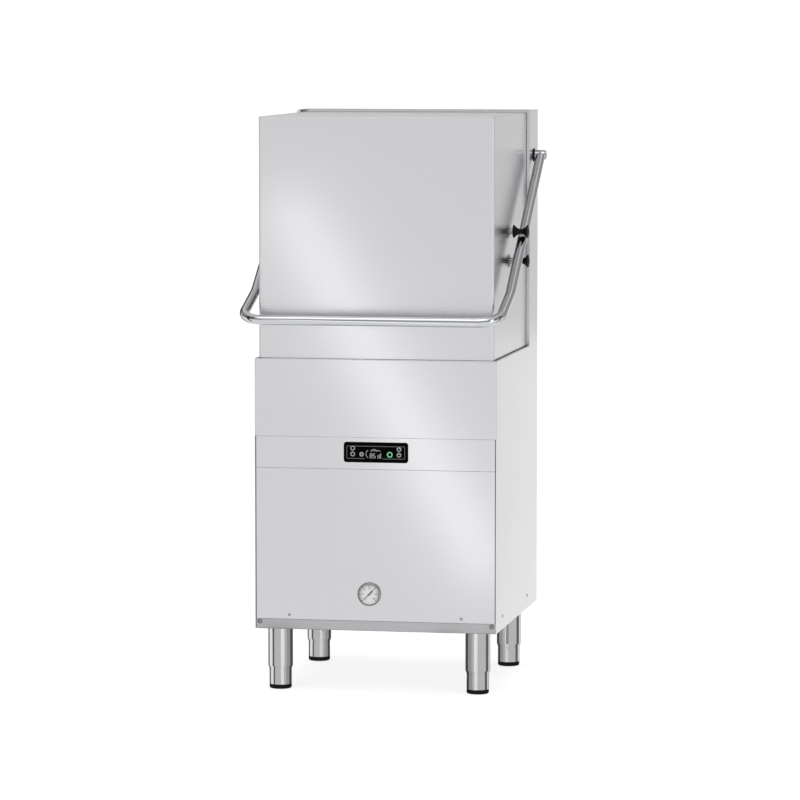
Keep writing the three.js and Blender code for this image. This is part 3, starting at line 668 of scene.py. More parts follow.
def wrap(stations, section):
    """Carries a section of (inset, height) points along plan stations."""
    bm = bmesh.new()
    rows = []
    for (x, y), (nx, ny) in stations:
        rows.append([(x - nx * inset, y - ny * inset, z) for inset, z in section])
    grid_faces(bm, rows)
    bm.normal_update()
    return bm


def faced_away(bm, centre):
    """Turns a sheet's faces so that they point away from a point."""
    bm.normal_update()
    centre = Vector(centre)
    outwardness = sum((f.calc_center_median() - centre).dot(f.normal) * f.calc_area() for f in bm.faces)
    if outwardness < 0:
        bmesh.ops.reverse_faces(bm, faces=bm.faces)
    return bm


def cabinet_band():
    """Upper front and both sides above the control strip: one sheet, folded over at the rim."""
    r = CORNER_R * 0.8
    rim_fold = arc((r, RIM_Z - r), r, 180, 90)
    foot = BAND_Z - 0.2 * MM
    section = [(6 * MM, foot), (SEAM_R, foot), (0, foot + SEAM_R), *rim_fold, (5 * MM, RIM_Z)]
    stations = u_path(SIDE_X, FRONT_Y, COLUMN_Y, CORNER_R)
    bm = faced_away(wrap(stations, section), (0, (FRONT_Y + COLUMN_Y) / 2, (BAND_Z + RIM_Z) / 2))
    piece("cabinet_band", bm, FRONT_STEEL, replaces=["upper_front_panel"], wall=SHEET)


def column_side(name, side):
    """Sheet of the cabinet's side below the band, and of the column's side up to its top."""
    x = side * SIDE_X
    outline = [(FRONT_Y, BASE_Z), (REAR_Y, BASE_Z), (REAR_Y, COLUMN_Z), (COLUMN_Y, COLUMN_Z),
               (COLUMN_Y, BAND_Z), (FRONT_Y, BAND_Z)]
    sheet = prism(outline, "x", side * (SIDE_X - SHEET), x)
    piece(f"side_sheet_{name}", sheet, SIDE_STEEL, replaces=[f"side_panel_{name}"])


def column_flange(name, side):
    """The column's front edge, folded in towards the hood, with a round fold."""
    inner = HOOD_X + 0.8 * MM
    back = COLUMN_Y + SHEET
    outline = arc((SIDE_X - FLANGE_R, COLUMN_Y + FLANGE_R), FLANGE_R, 0, -90)
    outline += [(inner, COLUMN_Y), (inner, back), (SIDE_X - FLANGE_R, back)]
    outline += [(SIDE_X - SHEET, COLUMN_Y + FLANGE_R)]
    mirrored = [(side * x, y) for x, y in outline]
    sheet = prism(mirrored, "z", RIM_Z - SHEET, COLUMN_Z)
    piece(f"column_fold_{name}", sheet, SIDE_STEEL)


def front_panel(name, node):
    """A shallow pan: flat face, sloped upper edge that meets the panel above, open at the back."""
    lowest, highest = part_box(node)
    half = highest.x
    depth = highest.y - lowest.y
    low_z = lowest.z
    high_z = highest.z + PANEL_GAP
    lip_in, lip_height = PANEL_LIP
    profile = [(depth, low_z), (SEAM_R, low_z), (0, low_z + SEAM_R)]
    profile += [(0, high_z - lip_height), (lip_in, high_z), (depth, high_z)]
    edge = half - PANEL_R
    bm = bmesh.new()
    grid_faces(bm, [[(x, FRONT_Y + inset, z) for x in (-edge, edge)] for inset, z in profile])
    heights = (low_z + SEAM_R, high_z - lip_height)
    fold = arc((edge, FRONT_Y + PANEL_R), PANEL_R, 270, 360, 4) + [(half, FRONT_Y + depth)]
    for side in (-1, 1):
        grid_faces(bm, [[(side * x, y, z) for z in heights] for x, y in fold])
    bmesh.ops.remove_doubles(bm, verts=bm.verts, dist=1e-6)
    faced_away(outward(bm), (0, FRONT_Y + depth, (low_z + high_z) / 2))
    piece(name, bm, FRONT_STEEL, replaces=[node], wall=1.2 * MM)


def screw(name, place, axis, outward_sign, radius):
    """A dome-headed screw with a round driving recess."""
    height = outward_sign * 0.42 * radius
    sunk = -outward_sign * 0.2 * MM
    profile = [
        (0, 0.25 * height), (0.30 * radius, 0.25 * height), (0.36 * radius, 0.98 * height),
        (0.62 * radius, 0.86 * height), (0.86 * radius, 0.55 * height), (radius, 0.12 * height),
        (radius, sunk), (0, sunk),
    ]
    piece(name, turned(profile, axis, place, 24), SCREW_STEEL, sharp=40)


def cabinet_screws():
    recess = [(0, 0), (5.6 * MM, 0), (5.9 * MM, -0.3 * MM), (5.6 * MM, -0.5 * MM), (0, -0.5 * MM)]
    for name, side in SIDES.items():
        place = (side * PANEL_SCREW[0], FRONT_Y, BASE_Z + PANEL_SCREW[1])
        screw(f"panel_screw_{name}", place, "y", -1, 4.0 * MM)
        place = (side * PLINTH_SCREW[0], low("plinth_front").y, BASE_Z + PLINTH_SCREW[1])
        screw(f"plinth_screw_{name}", place, "y", -1, 4.6 * MM)
        # A dark disc round the plinth screw: painted shade in its recess.
        piece(f"plinth_shade_ring_{name}", turned(recess, "y", place, 24), DARK_CAP_AND_PAINTED_SHADE)
        for row, behind in SIDE_SCREW_Y.items():
            place = (side * SIDE_X, FRONT_Y + behind, BASE_Z + SIDE_SCREW_UP)
            screw(f"side_screw_{row}_{name}", place, "x", side, 4.0 * MM)


def plinth():
    lowest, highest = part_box("plinth_front")
    bm = rounded_box(lowest, (highest.x, lowest.y + SHEET, highest.z), 0.5 * MM)
    foot = rounded_box(lowest, (highest.x, highest.y, lowest.z + SHEET), 0.4 * MM)
    # Its darker steel is painted shade, not a different finish.
    piece("plinth_strip", joined(bm, foot), PLINTH_STEEL_PAINTED_SHADE, replaces=["plinth_front"])


def vent_slots(face):
    """The slots' shapes, to be cut out of the rear sheet."""
    slots = []
    for x in SLOT_GROUPS:
        for k in range(SLOT_COUNT):
            z = BASE_Z + SLOT_FIRST + SLOT_PITCH * k
            outline = rounded_outline(x, z, *SLOT_SIZE, 3.2 * MM, 4)
            slots.append(prism(outline, "y", face - 4 * MM, face + 3 * MM))
    return joined(*slots)


def rear_panel():
    """The back: a sheet with groups of vent slots, its screws, and a blank plate."""
    lowest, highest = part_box("rear_panel")
    face = highest.y - REAR_FACE_IN
    sheet = rounded_box((lowest.x, face - 1.0 * MM, lowest.z), (highest.x, face, highest.z))
    panel = piece("rear_sheet", sheet, SIDE_STEEL, replaces=["rear_panel"])
    cutter = add_object("slot_cutter", finish_mesh(vent_slots(face), "slot_cutter", 30))
    cut = panel.modifiers.new("slots", "BOOLEAN")
    cut.operation = "DIFFERENCE"
    cut.solver = "EXACT"
    cut.object = cutter
    cut_sheet = evaluated_mesh(panel)
    panel.modifiers.clear()
    panel.data = cut_sheet
    panel.data.shade_flat()
    bpy.data.objects.remove(cutter)
    pitch = (highest.z - lowest.z - 2 * REAR_SCREW_MARGIN) / (REAR_SCREWS - 1)
    for name, side in SIDES.items():
        for k in range(REAR_SCREWS):
            place = (side * (SIDE_X - REAR_SCREW_IN), face, lowest.z + REAR_SCREW_MARGIN + k * pitch)
            screw(f"rear_screw_{name}_{k}", place, "y", 1, 3.6 * MM)
    (x0, z0), (x1, z1) = PLATE_LOW, PLATE_HIGH
    plate = rounded_box((x0, face, z0), (x1, face + 0.5 * MM, z1), 0.2 * MM, 1)
    piece("rating_plate", plate, SCREW_STEEL)


def top_cap():
    """The column's lid, with a lip folded down in front as far as the hood's top. The lip's lighter steel
    is painted light over the gap there, which lies in shade.
    """
    dress("column_top_cap", SIDE_STEEL, 0.3 * MM, smooth=False)
    y = HOOD_BACK + LID_GAP
    lowest = (-HOOD_X, y, HOOD_TOP + 0.4 * MM)
    highest = (HOOD_X, y + SHEET, COLUMN_Z + 0.2 * MM)
    piece("lid_lip", rounded_box(lowest, highest, 0.3 * MM), LIP_STEEL_PAINTED_LIGHT)


# ---- control panel ----


def ring(place, outer, inner, height, steps=40):
    """A flat raised ring facing forward."""
    profile = [
        (inner, 0), (inner, -height * 0.7), (inner + 0.2 * height, -height),
        (outer - 0.2 * height, -height), (outer, -height * 0.7), (outer, 0), (inner, 0),
    ]
    return turned(profile, "y", place, steps)


def frame_line(centre, face):
    """A thin printed frame inside the plate's edge."""
    line = 1.7 * MM
    x0, x1 = centre[0] - FRAME_HALF[0], centre[0] + FRAME_HALF[0]
    z0, z1 = centre[1] - FRAME_HALF[1], centre[1] + FRAME_HALF[1]
    y0, y1 = face - 0.05 * MM, face + 0.12 * MM
    sides = [(x0, z0, x1, z0 + line), (x0, z1 - line, x1, z1)]
    sides += [(x0, z0, x0 + line, z1), (x1 - line, z0, x1, z1)]
    boxes = [rounded_box((left, y0, bottom), (right, y1, top)) for left, bottom, right, top in sides]
    piece("panel_frame_line", joined(*boxes), LINE_GREY)


def symbols(centre, face):
    """Two small symbols at each end of the plate, as plain rings; those on the right have a tick."""
    half_tick = 0.9 * MM
    for k, (dx, dz) in enumerate((*LEFT_MARKS, *RIGHT_MARKS)):
        x, z = centre[0] + dx, centre[1] + dz
        symbol = ring((x, face + 0.1 * MM, z), 6.0 * MM, 3.6 * MM, 0.35 * MM)
        piece(f"symbol_ring_{k}", symbol, MARK_GREY)
        if dx > 0:
            tick = rounded_box((x - half_tick, face - 0.3 * MM, z), (x + half_tick, face, z + 6 * MM))
            piece(f"symbol_tick_{k}", tick, MARK_GREY)


def control_panel():
    lowest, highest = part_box("control_bezel")
    centre = ((lowest.x + highest.x) / 2, (lowest.z + highest.z) / 2)
    face = lowest.y
    outline = rounded_outline(*centre, highest.x - lowest.x, highest.z - lowest.z, 7 * MM, 8)
    plate_face = face + 0.1 * MM
    plate = prism(outline, "y", FRONT_Y - 0.1 * MM, plate_face)
    rim = [e for e in plate.edges if all(abs(v.co.y - plate_face) < 1e-6 for v in e.verts)]
    soften(plate, rim, 1.0 * MM, 4)
    piece("control_plate", plate, CONTROL_BLACK, replaces=["control_bezel"])
    frame_line(centre, face)
    symbols(centre, face)
    display(face)
    key("start_key", "button_start", KEY_GREEN, 0.56)
    key("program_key", "button_program", KEY_GREY, 0.30)


def key(name, node, ring_material, inner_share):
    """A push button: dark cap with a raised lit ring. The node and its body have one name."""
    lowest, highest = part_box(node)
    x, z = (lowest.x + highest.x) / 2, (lowest.z + highest.z) / 2
    r = (highest.x - lowest.x) / 2
    face = lowest.y + 0.5 * MM
    profile = [(0, face), (r - 0.6 * MM, face), (r - 0.1 * MM, face + 0.4 * MM)]
    profile += [(r - 0.1 * MM, highest.y), (0, highest.y)]
    piece(name, turned(profile, "y", (x, 0, z), 48), CONTROL_BLACK, body=node, replaces=[node])
    lamp = ring((x, face, z), r - 0.7 * MM, r * inner_share, 0.45 * MM)
    piece(f"{name}_ring", lamp, ring_material, body=node)


def digit(figure, x, z, height, face):
    """One seven-segment figure, built from small bars."""
    width = 0.5 * height
    t = 0.13 * height
    half = height / 2
    bars = {
        "a": ((0, half), True), "g": ((0, 0), True), "d": ((0, -half), True),
        "f": ((-width / 2, half / 2), False), "b": ((width / 2, half / 2), False),
        "e": ((-width / 2, -half / 2), False), "c": ((width / 2, -half / 2), False),
    }
    parts = []
    for letter in SEGMENTS[figure]:
        (dx, dz), flat = bars[letter]
        sx, sz = ((width - 1.2 * t) / 2, t / 2) if flat else (t / 2, (half - 1.2 * t) / 2)
        lowest = (x + dx - sx, face, z + dz - sz)
        parts.append(rounded_box(lowest, (x + dx + sx, face + 0.15 * MM, z + dz + sz)))
    return joined(*parts)


def display(face):
    lowest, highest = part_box("display_window")
    window_face = face - 0.05 * MM
    centre = ((lowest.x + highest.x) / 2, (lowest.z + highest.z) / 2)
    outline = rounded_outline(*centre, highest.x - lowest.x, highest.z - lowest.z, 1.6 * MM)
    window = prism(outline, "y", window_face, window_face + 0.4 * MM)
    piece("display_glass", window, DISPLAY_BLACK, replaces=["display_window"])
    x, z = centre
    front = window_face - 0.1 * MM
    figures = [digit(figure, x + dx * MM, z - FIGURE_DOWN, FIGURE_HEIGHT, front) for figure, dx in FIGURES]
    piece("display_figures", joined(*figures), SEGMENT_WHITE)
    bars = [(10 + 3.6 * k, -12, 1.9, 8 + 2.5 * k) for k in range(3)]
    bars += [(-8 + 5 * k, 6.5, 3.2, 1.8) for k in range(3)]
    marks = []
    for dx, dz, width, height in bars:
        lowest = (x + dx * MM, front, z + dz * MM)
        highest = (x + (dx + width) * MM, front + 0.12 * MM, z + (dz + height) * MM)
        marks.append(rounded_box(lowest, highest))
    for dx, dz, radius, start, end in DISPLAY_BOWS:
        marks.append(flat_arc(x + dx * MM, z + dz * MM, radius * MM, 1.5 * MM, start, end, front))
    piece("display_marks", joined(*marks), MARK_GREY)


def flat_arc(x, z, radius, width, start, end, front, depth=0.12 * MM, steps=14):
    """A flat curved mark."""
    outer = arc((x, z), radius, start, end, steps)
    inner = arc((x, z), radius - width, end, start, steps)
    return prism(outer + inner, "y", front, front + depth)


# ---- thermometer ----

def thermometer():
    lowest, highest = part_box("gauge_case")
    centre = Vector(((lowest.x + highest.x) / 2, 0, (lowest.z + highest.z) / 2))
    r = (highest.x - lowest.x) / 2
    front = lowest.y
    back = FRONT_Y - 0.3 * MM
    bore = r - DIAL_RIM
    outer_fold = arc((r - 1.6 * MM, front + 1.6 * MM), 1.6 * MM, 0, -90, 6)
    inner_fold = arc((bore + 0.7 * MM, front + 0.7 * MM), 0.7 * MM, -90, -180, 4)
    bezel = [(r, back), *outer_fold, *inner_fold, (bore, back), (r, back)]
    piece("gauge_bezel", turned(bezel, "y", centre), BEZEL_STEEL, replaces=["gauge_case"])
    dial_face = low("gauge_dial").y
    dial_back = high("gauge_dial").y
    wide, narrow = bore - 0.1 * MM, bore - 1.1 * MM
    lip = (wide, front + 1.2 * MM)
    lining = [lip, (narrow, dial_back - 1.4 * MM), (narrow, dial_back), (wide, dial_back), lip]
    # The near-black lining from the bezel's lip down to the dial is painted shade in the recess.
    piece("gauge_shade_lining", turned(lining, "y", centre), DARK_CAP_AND_PAINTED_SHADE)
    can_r = bore - 2 * MM
    can = [(0, back), (can_r, back), (can_r, highest.y), (0, highest.y)]
    piece("gauge_can", turned(can, "y", centre, 32), INNER_STEEL)
    dress("gauge_dial", DIAL_CREAM)
    dress("gauge_glass", GAUGE_GLASS)
    dial_scale(centre, bore, dial_face)
    needle()


def dial_angle(share):
    return math.radians(DIAL_START - DIAL_SWEEP * share)


def dial_scale(centre, bore, face):
    """Marks, every tenth one long, two rings and the numbers."""
    marks = []
    for k in range(DIAL_STEPS + 1):
        angle = dial_angle(k / DIAL_STEPS)
        inner, half = (0.74 * bore, 0.75 * MM) if k % 10 == 0 else (0.81 * bore, 0.32 * MM)
        outer = 0.90 * bore
        ux, uz = math.cos(angle), math.sin(angle)
        corners = [(inner, -half), (outer, -half), (outer, half), (inner, half)]
        outline = [(centre.x + a * ux - b * uz, centre.z + a * uz + b * ux) for a, b in corners]
        marks.append(prism(outline, "y", face - 0.12 * MM, face))
    piece("dial_marks", joined(*marks), INK)
    rings = []
    end = DIAL_START - DIAL_SWEEP
    depth = 0.1 * MM
    for radius, width in ((0.92 * bore, 0.035 * bore), (0.72 * bore, 0.025 * bore)):
        ring_shape = flat_arc(centre.x, centre.z, radius, width, DIAL_START, end, face - depth, depth, 48)
        rings.append(ring_shape)
    piece("dial_rings", joined(*rings), INK)
    for k in range(DIAL_NUMBERS):
        angle = dial_angle(k / (DIAL_NUMBERS - 1))
        reach = 0.56 * bore
        x, z = centre.x + reach * math.cos(angle), centre.z + reach * math.sin(angle)
        dial_number(str(DIAL_NUMBER_STEP * k), x, z, face)


def dial_number(figures, x, z, face):
    curve = bpy.data.curves.new(f"dial_number_{figures}", "FONT")
    curve.body = figures
    curve.size = 5.6 * MM
    curve.align_x = "CENTER"
    curve.align_y = "CENTER"
    curve.extrude = 0.05 * MM
    text = add_object(f"dial_text_{figures}", curve)
    text.location = (x, face - 0.06 * MM, z)
    text.rotation_euler = (math.pi / 2, 0, 0)
    mesh = evaluated_mesh(text)
    mesh.transform(text.matrix_world)
    bpy.data.objects.remove(text)
    mesh.materials.clear()
    mesh.materials.append(INK)
    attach(add_object(f"dial_number_{figures}", mesh), "chassis")


def needle():
    """A slim pointer with a broad, round-ended counterweight, pinned under a cap."""
    hub = low("gauge_needle").y
    centre = middle("gauge_case")
    pointer = dial_angle(0)
    along = Vector((math.cos(pointer), math.sin(pointer)))
    across = Vector((-along.y, along.x))
    tip = [(-1.6 * MM, 1.0 * MM), (NEEDLE_REACH, 0.4 * MM)]
    tip += [(a, -b) for a, b in reversed(tip)]
    weight = [(a - WEIGHT_REACH, b) for a, b in arc((0, 0), WEIGHT_R, 270, 90, 10)]
    outline = [Vector((centre.x, centre.z)) + a * along + b * across for a, b in tip + weight]
    blade = prism(outline, "y", hub + 0.2 * MM, hub + 0.9 * MM)
    piece("needle_blade", blade, INK, body="gauge_needle", replaces=["gauge_needle"])
    profile = [(0, hub - 0.3 * MM), (1.6 * MM, hub - 0.2 * MM), (2.4 * MM, hub + 0.2 * MM)]
    profile += [(2.4 * MM, hub + 0.6 * MM), (0, hub + 0.6 * MM)]
    cap = turned(profile, "y", (centre.x, 0, centre.z), 24)
    piece("needle_cap", cap, DARK_CAP_AND_PAINTED_SHADE, body="gauge_needle")


# ---- legs ----


def leg(place):
    """A sleeve, the foot's tube that screws out of it, and the foot's pad."""
    sleeve_low, sleeve_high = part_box(f"leg_sleeve_{place}")
    foot_low, foot_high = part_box(f"adjustable_foot_{place}")
    centre = ((sleeve_low.x + sleeve_high.x) / 2, (sleeve_low.y + sleeve_high.y) / 2, 0)
    r = (sleeve_high.x - sleeve_low.x) / 2 - 0.05 * MM
    foot_r = (foot_high.x - foot_low.x) / 2 - 0.05 * MM
    bore = foot_r + 0.3 * MM
    bottom = sleeve_low.z
    sleeve = [
        (0, sleeve_high.z), (r, sleeve_high.z), (r, bottom + 7.5 * MM), (r - 0.3 * MM, bottom + 6.5 * MM),
        (foot_r + 0.9 * MM, bottom + 0.8 * MM), (foot_r + 0.5 * MM, bottom), (bore, bottom + 0.3 * MM),
        (bore, bottom + SLEEVE_BORE_TOP), (0, bottom + SLEEVE_BORE_TOP),
    ]
    piece(f"sleeve_tube_{place}", turned(sleeve, "z", centre), LEG_STEEL, replaces=[f"leg_sleeve_{place}"],
          sharp=25)
    foot = [
        (0, foot_high.z), (foot_r, foot_high.z), (foot_r, PAD_TOP + 1.2 * MM),
        (foot_r - 0.8 * MM, PAD_TOP + 0.2 * MM), (foot_r - 2 * MM, PAD_TOP), (0, PAD_TOP),
    ]
    body = f"foot_{place}"
    piece(f"foot_tube_{place}", turned(foot, "z", centre), LEG_STEEL, body=body,
          replaces=[f"adjustable_foot_{place}"], sharp=25)
    pad_face = PAD_TOP - 0.1 * MM
    pad = [
        (0, pad_face), (foot_r - 0.9 * MM, pad_face), (foot_r - 0.2 * MM, PAD_TOP - 0.6 * MM),
        (foot_r, PAD_TOP - 1.6 * MM), (foot_r, 4.5 * MM), (foot_r - 0.6 * MM, 2.2 * MM),
        (foot_r - 2.2 * MM, 0.5 * MM), (foot_r - 3.6 * MM, 0), (0, 0),
    ]
    piece(f"foot_pad_{place}", turned(pad, "z", centre), PAD_PLASTIC, body=body, sharp=40)


# ---- hood ----


def hood():
    """Front, sides and top as one welded sheet with softly folded edges."""
    stations = u_path(HOOD_X, HOOD_FRONT, HOOD_BACK, HOOD_CORNER_R)
    section = [(9 * MM, HOOD_LOW), (0.6 * MM, HOOD_LOW), (0, HOOD_LOW + 0.8 * MM)]
    section += arc((HOOD_R, HOOD_TOP - HOOD_R), HOOD_R, 180, 90)
    bm = wrap(stations, section)
    bm.verts.ensure_lookup_table()
    top = [bm.verts[i * len(section) + len(section) - 1] for i in range(len(stations))]
    bm.faces.new(top)
    faced_away(outward(bm), (0, HOOD_FRONT + 0.3, HOOD_TOP - 0.3))
    piece("hood_shell", bm, FRONT_STEEL, body="hood", replaces=["hood_front", "hood_top"],
          sharp=34, wall=SHEET)


def roller_set(row, side_name, side):
    """An hourglass roller on its pin, with a washer behind it and a dome nut in front."""
    node = f"roller_{row}_{side_name}"
    lowest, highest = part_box(node)
    centre = (0, (lowest.y + highest.y) / 2, (lowest.z + highest.z) / 2)
    mid = (lowest.x + highest.x) / 2
    half = (highest.x - lowest.x) / 2
    r = (highest.z - lowest.z) / 2 - 0.1 * MM
    start, end = mid - half, mid + half
    profile = [(ROLLER_BORE_R, start), (r - 1.6 * MM, start), (r - 0.5 * MM, start + 0.5 * MM)]
    profile.append((r, start + 1.6 * MM))
    for i in range(ROLLER_STEPS + 1):
        u = 2 * i / ROLLER_STEPS - 1
        flare = (r - ROLLER_WAIST_R) * abs(u) ** 1.9
        profile.append((ROLLER_WAIST_R + flare, mid + (half - ROLLER_LIP) * u))
    profile += [(r, end - 1.6 * MM), (r - 0.5 * MM, end - 0.5 * MM), (r - 1.6 * MM, end)]
    profile += [(ROLLER_BORE_R, end), (ROLLER_BORE_R, start)]
    piece(f"hourglass_{row}_{side_name}", turned(profile, "x", centre, 48), BLACK_PLASTIC, body=node,
          replaces=[node])
    out = side * MM
    face = side * HOOD_X
    inner_edge = mid - side * half
    pin_end = mid + side * half + 0.4 * out
    washer = [(0, face), (8 * MM, face), (8 * MM, inner_edge - 0.6 * out), (4 * MM, inner_edge - 0.5 * out),
              (4 * MM, pin_end), (0, pin_end)]
    piece(f"roller_pin_{row}_{side_name}", turned(washer, "x", centre, 32), SCREW_STEEL, body="hood")
    nut = [(0, pin_end), (7 * MM, pin_end), (6.8 * MM, pin_end + 0.8 * out), (4 * MM, pin_end + 1.4 * out),
           (0, pin_end + 1.55 * out)]
    piece(f"roller_nut_{row}_{side_name}", turned(nut, "x", centre, 32), BLACK_PLASTIC, body="hood")


def hood_sides():
    """The hood's side sheets are part of the shell; their CAD nodes carry the roller pins."""
    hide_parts("hood_side_right", "hood_side_left")
    for name, side in SIDES.items():
        for row in ("upper", "lower"):
            roller_set(row, name, side)


# ---- handle ----

def handle():
    """The bent tube, its two bosses and their caps, and the shaft and bushes it turns in."""
    lowest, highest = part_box("handle_tube")
    pivot = middle("pivot_bush_right")
    bar = (lowest.y + CAD_TUBE_R, lowest.z + CAD_TUBE_R)
    knee = (FRONT_Y + KNEE_BACK, bar[1] + KNEE_UP)
    corners = []
    for side in (-1, 1):
        x = side * ARM_X
        run = [((x, pivot.y, pivot.z), 0), ((x, *knee), KNEE_BEND), ((x, *bar), BAR_BEND)]
        corners += run[::-side]
    piece("handle_bar", tube(bent_path(corners), TUBE_R, 40), TUBE_STEEL, body="handle",
          replaces=["handle_tube"], sharp=50)
    centre = (0, pivot.y, pivot.z)
    for name, side in SIDES.items():
        near = side * (SIDE_X + 3.2 * MM)
        far = side * (highest.x - 0.1 * MM)
        soft = side * 1.2 * MM
        edge_r = BOSS_R - 1.2 * MM
        boss = [(0, near), (edge_r, near), (BOSS_R, near + soft), (BOSS_R, far - soft), (edge_r, far),
                (8 * MM, far), (7.6 * MM, far - soft), (0, far - soft)]
        piece(f"handle_boss_{name}", turned(boss, "x", centre, 48), TUBE_STEEL, body="handle")
        cap = [(0, far - soft), (7 * MM, far - soft), (7 * MM, far + side * 0.9 * MM),
               (5.5 * MM, far + side * 1.9 * MM), (0, far + side * 2.2 * MM)]
        piece(f"pivot_cap_{name}", turned(cap, "x", centre, 32), SCREW_STEEL, body="handle")
    dress("pivot_shaft", INNER_STEEL)
    for name in SIDES:
        dress(f"pivot_bush_{name}", BLACK_PLASTIC, 0.3 * MM)


# ---- inside the machine ----


def spring(side_name):
    """A close-wound tension spring with hooks, given a mesh of its own."""
    node = f"lift_spring_{side_name}"
    lowest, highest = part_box(node)
    x, y = (lowest.x + highest.x) / 2, (lowest.y + highest.y) / 2
    r = (highest.x - lowest.x) / 2 - SPRING_WIRE_R
    start, end = lowest.z + SPRING_HOOK, highest.z - SPRING_HOOK
    steps = SPRING_TURNS * SPRING_STEPS
    path = [Vector((x, y, lowest.z + SPRING_WIRE_R))]
    for i in range(steps + 1):
        angle = 2 * math.pi * i / SPRING_STEPS
        z = start + (end - start) * i / steps
        path.append(Vector((x + r * math.cos(angle), y + r * math.sin(angle), z)))
    path.append(Vector((x, y, highest.z - SPRING_WIRE_R)))
    coil = tube(path, SPRING_WIRE_R, 6)
    obj = piece(f"spring_coil_{side_name}", coil, SCREW_STEEL, replaces=[node], sharp=60)
    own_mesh(obj)


def spray_arm(node, nozzles, up, material):
    """The arm's bar with softened edges, and a row of nozzles on each half; up is 1 or -1."""
    lowest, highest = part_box(node)
    dress(node, material, 1.2 * MM)
    y = (lowest.y + highest.y) / 2
    height = highest.z - lowest.z
    above_bar = 0.27 if height > 0.02 else 0.25
    face = highest.z - above_bar * height if up > 0 else lowest.z + 0.2 * height
    out = up * MM
    profile = [(0, -out), (4.2 * MM, -out), (3.6 * MM, 1.4 * out), (1.4 * MM, 1.7 * out),
               (1.2 * MM, 0.6 * out), (0, 0.6 * out)]
    pitch = (highest.x - NOZZLE_IN - NOZZLE_END) / (nozzles - 1)
    parts = []
    for side in (-1, 1):
        for k in range(nozzles):
            parts.append(turned(profile, "z", (side * (NOZZLE_IN + pitch * k), y, face), 16))
    piece(f"{node}_nozzles", joined(*parts), SCREW_STEEL, body=node)


INNER_STEEL_NODES = ("base_frame", "chamber_rear_wall", "wash_tank", "rack_guide", "overflow_standpipe",
                     "wash_manifold", "rinse_boiler", "tank_element")


def inside():
    for node in INNER_STEEL_NODES:
        dress(node, INNER_STEEL)
    dress("filter_tray", STRAINER_STEEL)
    dress("wash_pump", PUMP_PAINT)
    dress("electrical_box", GREY_PLASTIC, 2 * MM)
    dress("chemical_doser", BLACK_PLASTIC, 1 * MM)
    dress("water_inlet_valve", BRASS)
    dress("cable_gland", BLACK_PLASTIC, 0.5 * MM)
    dress("suction_pipe", GREY_PLASTIC)
    dress("drain_pipe", GREY_PLASTIC)
    for row, up in (("lower", 1), ("upper", -1)):
        spray_arm(f"{row}_wash_arm", WASH_NOZZLES, up, INNER_STEEL)
        spray_arm(f"{row}_rinse_arm", RINSE_NOZZLES, up, TUBE_STEEL)
    for name in SIDES:
        dress(f"hood_guide_{name}", WHITE_PLASTIC, 0.5 * MM)
        spring(name)


# ---- studio ----


def stage_face(name, corners, material):
    """One flat face that belongs to the studio, not to the machine."""
    bm = bmesh.new()
    bm.faces.new([bm.verts.new(c) for c in corners])
    obj = add_object(name, finish_mesh(bm, name, 30))
    obj.data.materials.append(material)
    return obj


def floor():
    size = FLOOR_SIZE
    corners = [(-size, -size, 0), (size, -size, 0), (size, size, 0), (-size, size, 0)]
    material = glowing("studio_floor", (0.34, 0.34, 0.345), FLOOR_GLOW, 0.1, 0.9)
    stage_face("studio_floor", corners, material).location.z = -FLOOR_DROP


def card(name, corners, brightness):
    """A studio card that only shows in reflections."""
    obj = stage_face(name, corners, glowing(name, 0, brightness, 0))
    obj.visible_camera = False
    obj.visible_diffuse = False
    obj.visible_shadow = False


def heading(angle):
    """The level direction at an angle from straight ahead, positive to the right."""
    return Vector((math.sin(angle), -math.cos(angle), 0))


def upright_card(name, bearing, distance, width, height, brightness):
    angle = math.radians(bearing)
    centre = heading(angle) * distance
    half = Vector((math.cos(angle), math.sin(angle), 0)) * (width / 2)
    rise = Vector((0, 0, height))
    card(name, [centre - half, centre + half, centre + half + rise, centre - half + rise], brightness)


def leg_card_edge(centre, bearing):
    """Inner and outer points on the floor at a bearing from a leg, and the point over the outer one."""
    limit = SIDE_X - LEG_CARD_INSET
    way = heading(math.radians(bearing))
    inner = centre + LEG_CARD_INNER_R * way
    outer = centre + LEG_CARD_R * way
    for point in (inner, outer):
        point.x = max(-limit, min(limit, point.x))
        point.z = LEG_CARD_FOOT
    return inner, outer, outer + Vector((0, 0, LEG_CARD_TOP))


def leg_cards(place):
    """Cards lying on the floor and standing round a leg, which its tube draws out into streaks."""
    centre = middle(f"leg_sleeve_{place}")
    centre.z = 0
    for k, (start, end, brightness) in enumerate(LEG_CARDS):
        for i in range(LEG_CARD_STEPS):
            edges = []
            for share in (i, i + 1):
                bearing = start + (end - start) * share / LEG_CARD_STEPS
                if centre.x > 0:
                    bearing = 2 * VIEW_BEARING - bearing
                edges.append(leg_card_edge(centre, bearing))
            (a, b, c), (d, e, f) = edges
            card(f"leg_card_{place}_{k}_{i}", [b, e, f, c], brightness)
            card(f"leg_card_{place}_floor_{k}_{i}", [a, d, e, b], brightness)


def cards():
    """Cards that shade the upper right side and draw streaks down the legs and the handle."""
    x0, x1 = SIDE_CARD_X
    y = SIDE_CARD_Y
    z0, z1 = SIDE_CARD_Z
    card("side_card", [(x0, y, z0), (x1, y, z0), (x1, y, z1), (x0, y, z1)], SIDE_CARD)
    near, far = OVERHEAD_Y
    z = OVERHEAD_Z
    for k, (start, end, brightness) in enumerate(OVERHEAD_CARDS):
        corners = [(start, near, z), (end, near, z), (end, far, z), (start, far, z)]
        card(f"overhead_card_{k}", corners, brightness)
    for name, values in UPRIGHT_CARDS.items():
        upright_card(name, *values)
    for place in LEG_PLACES:
        leg_cards(place)


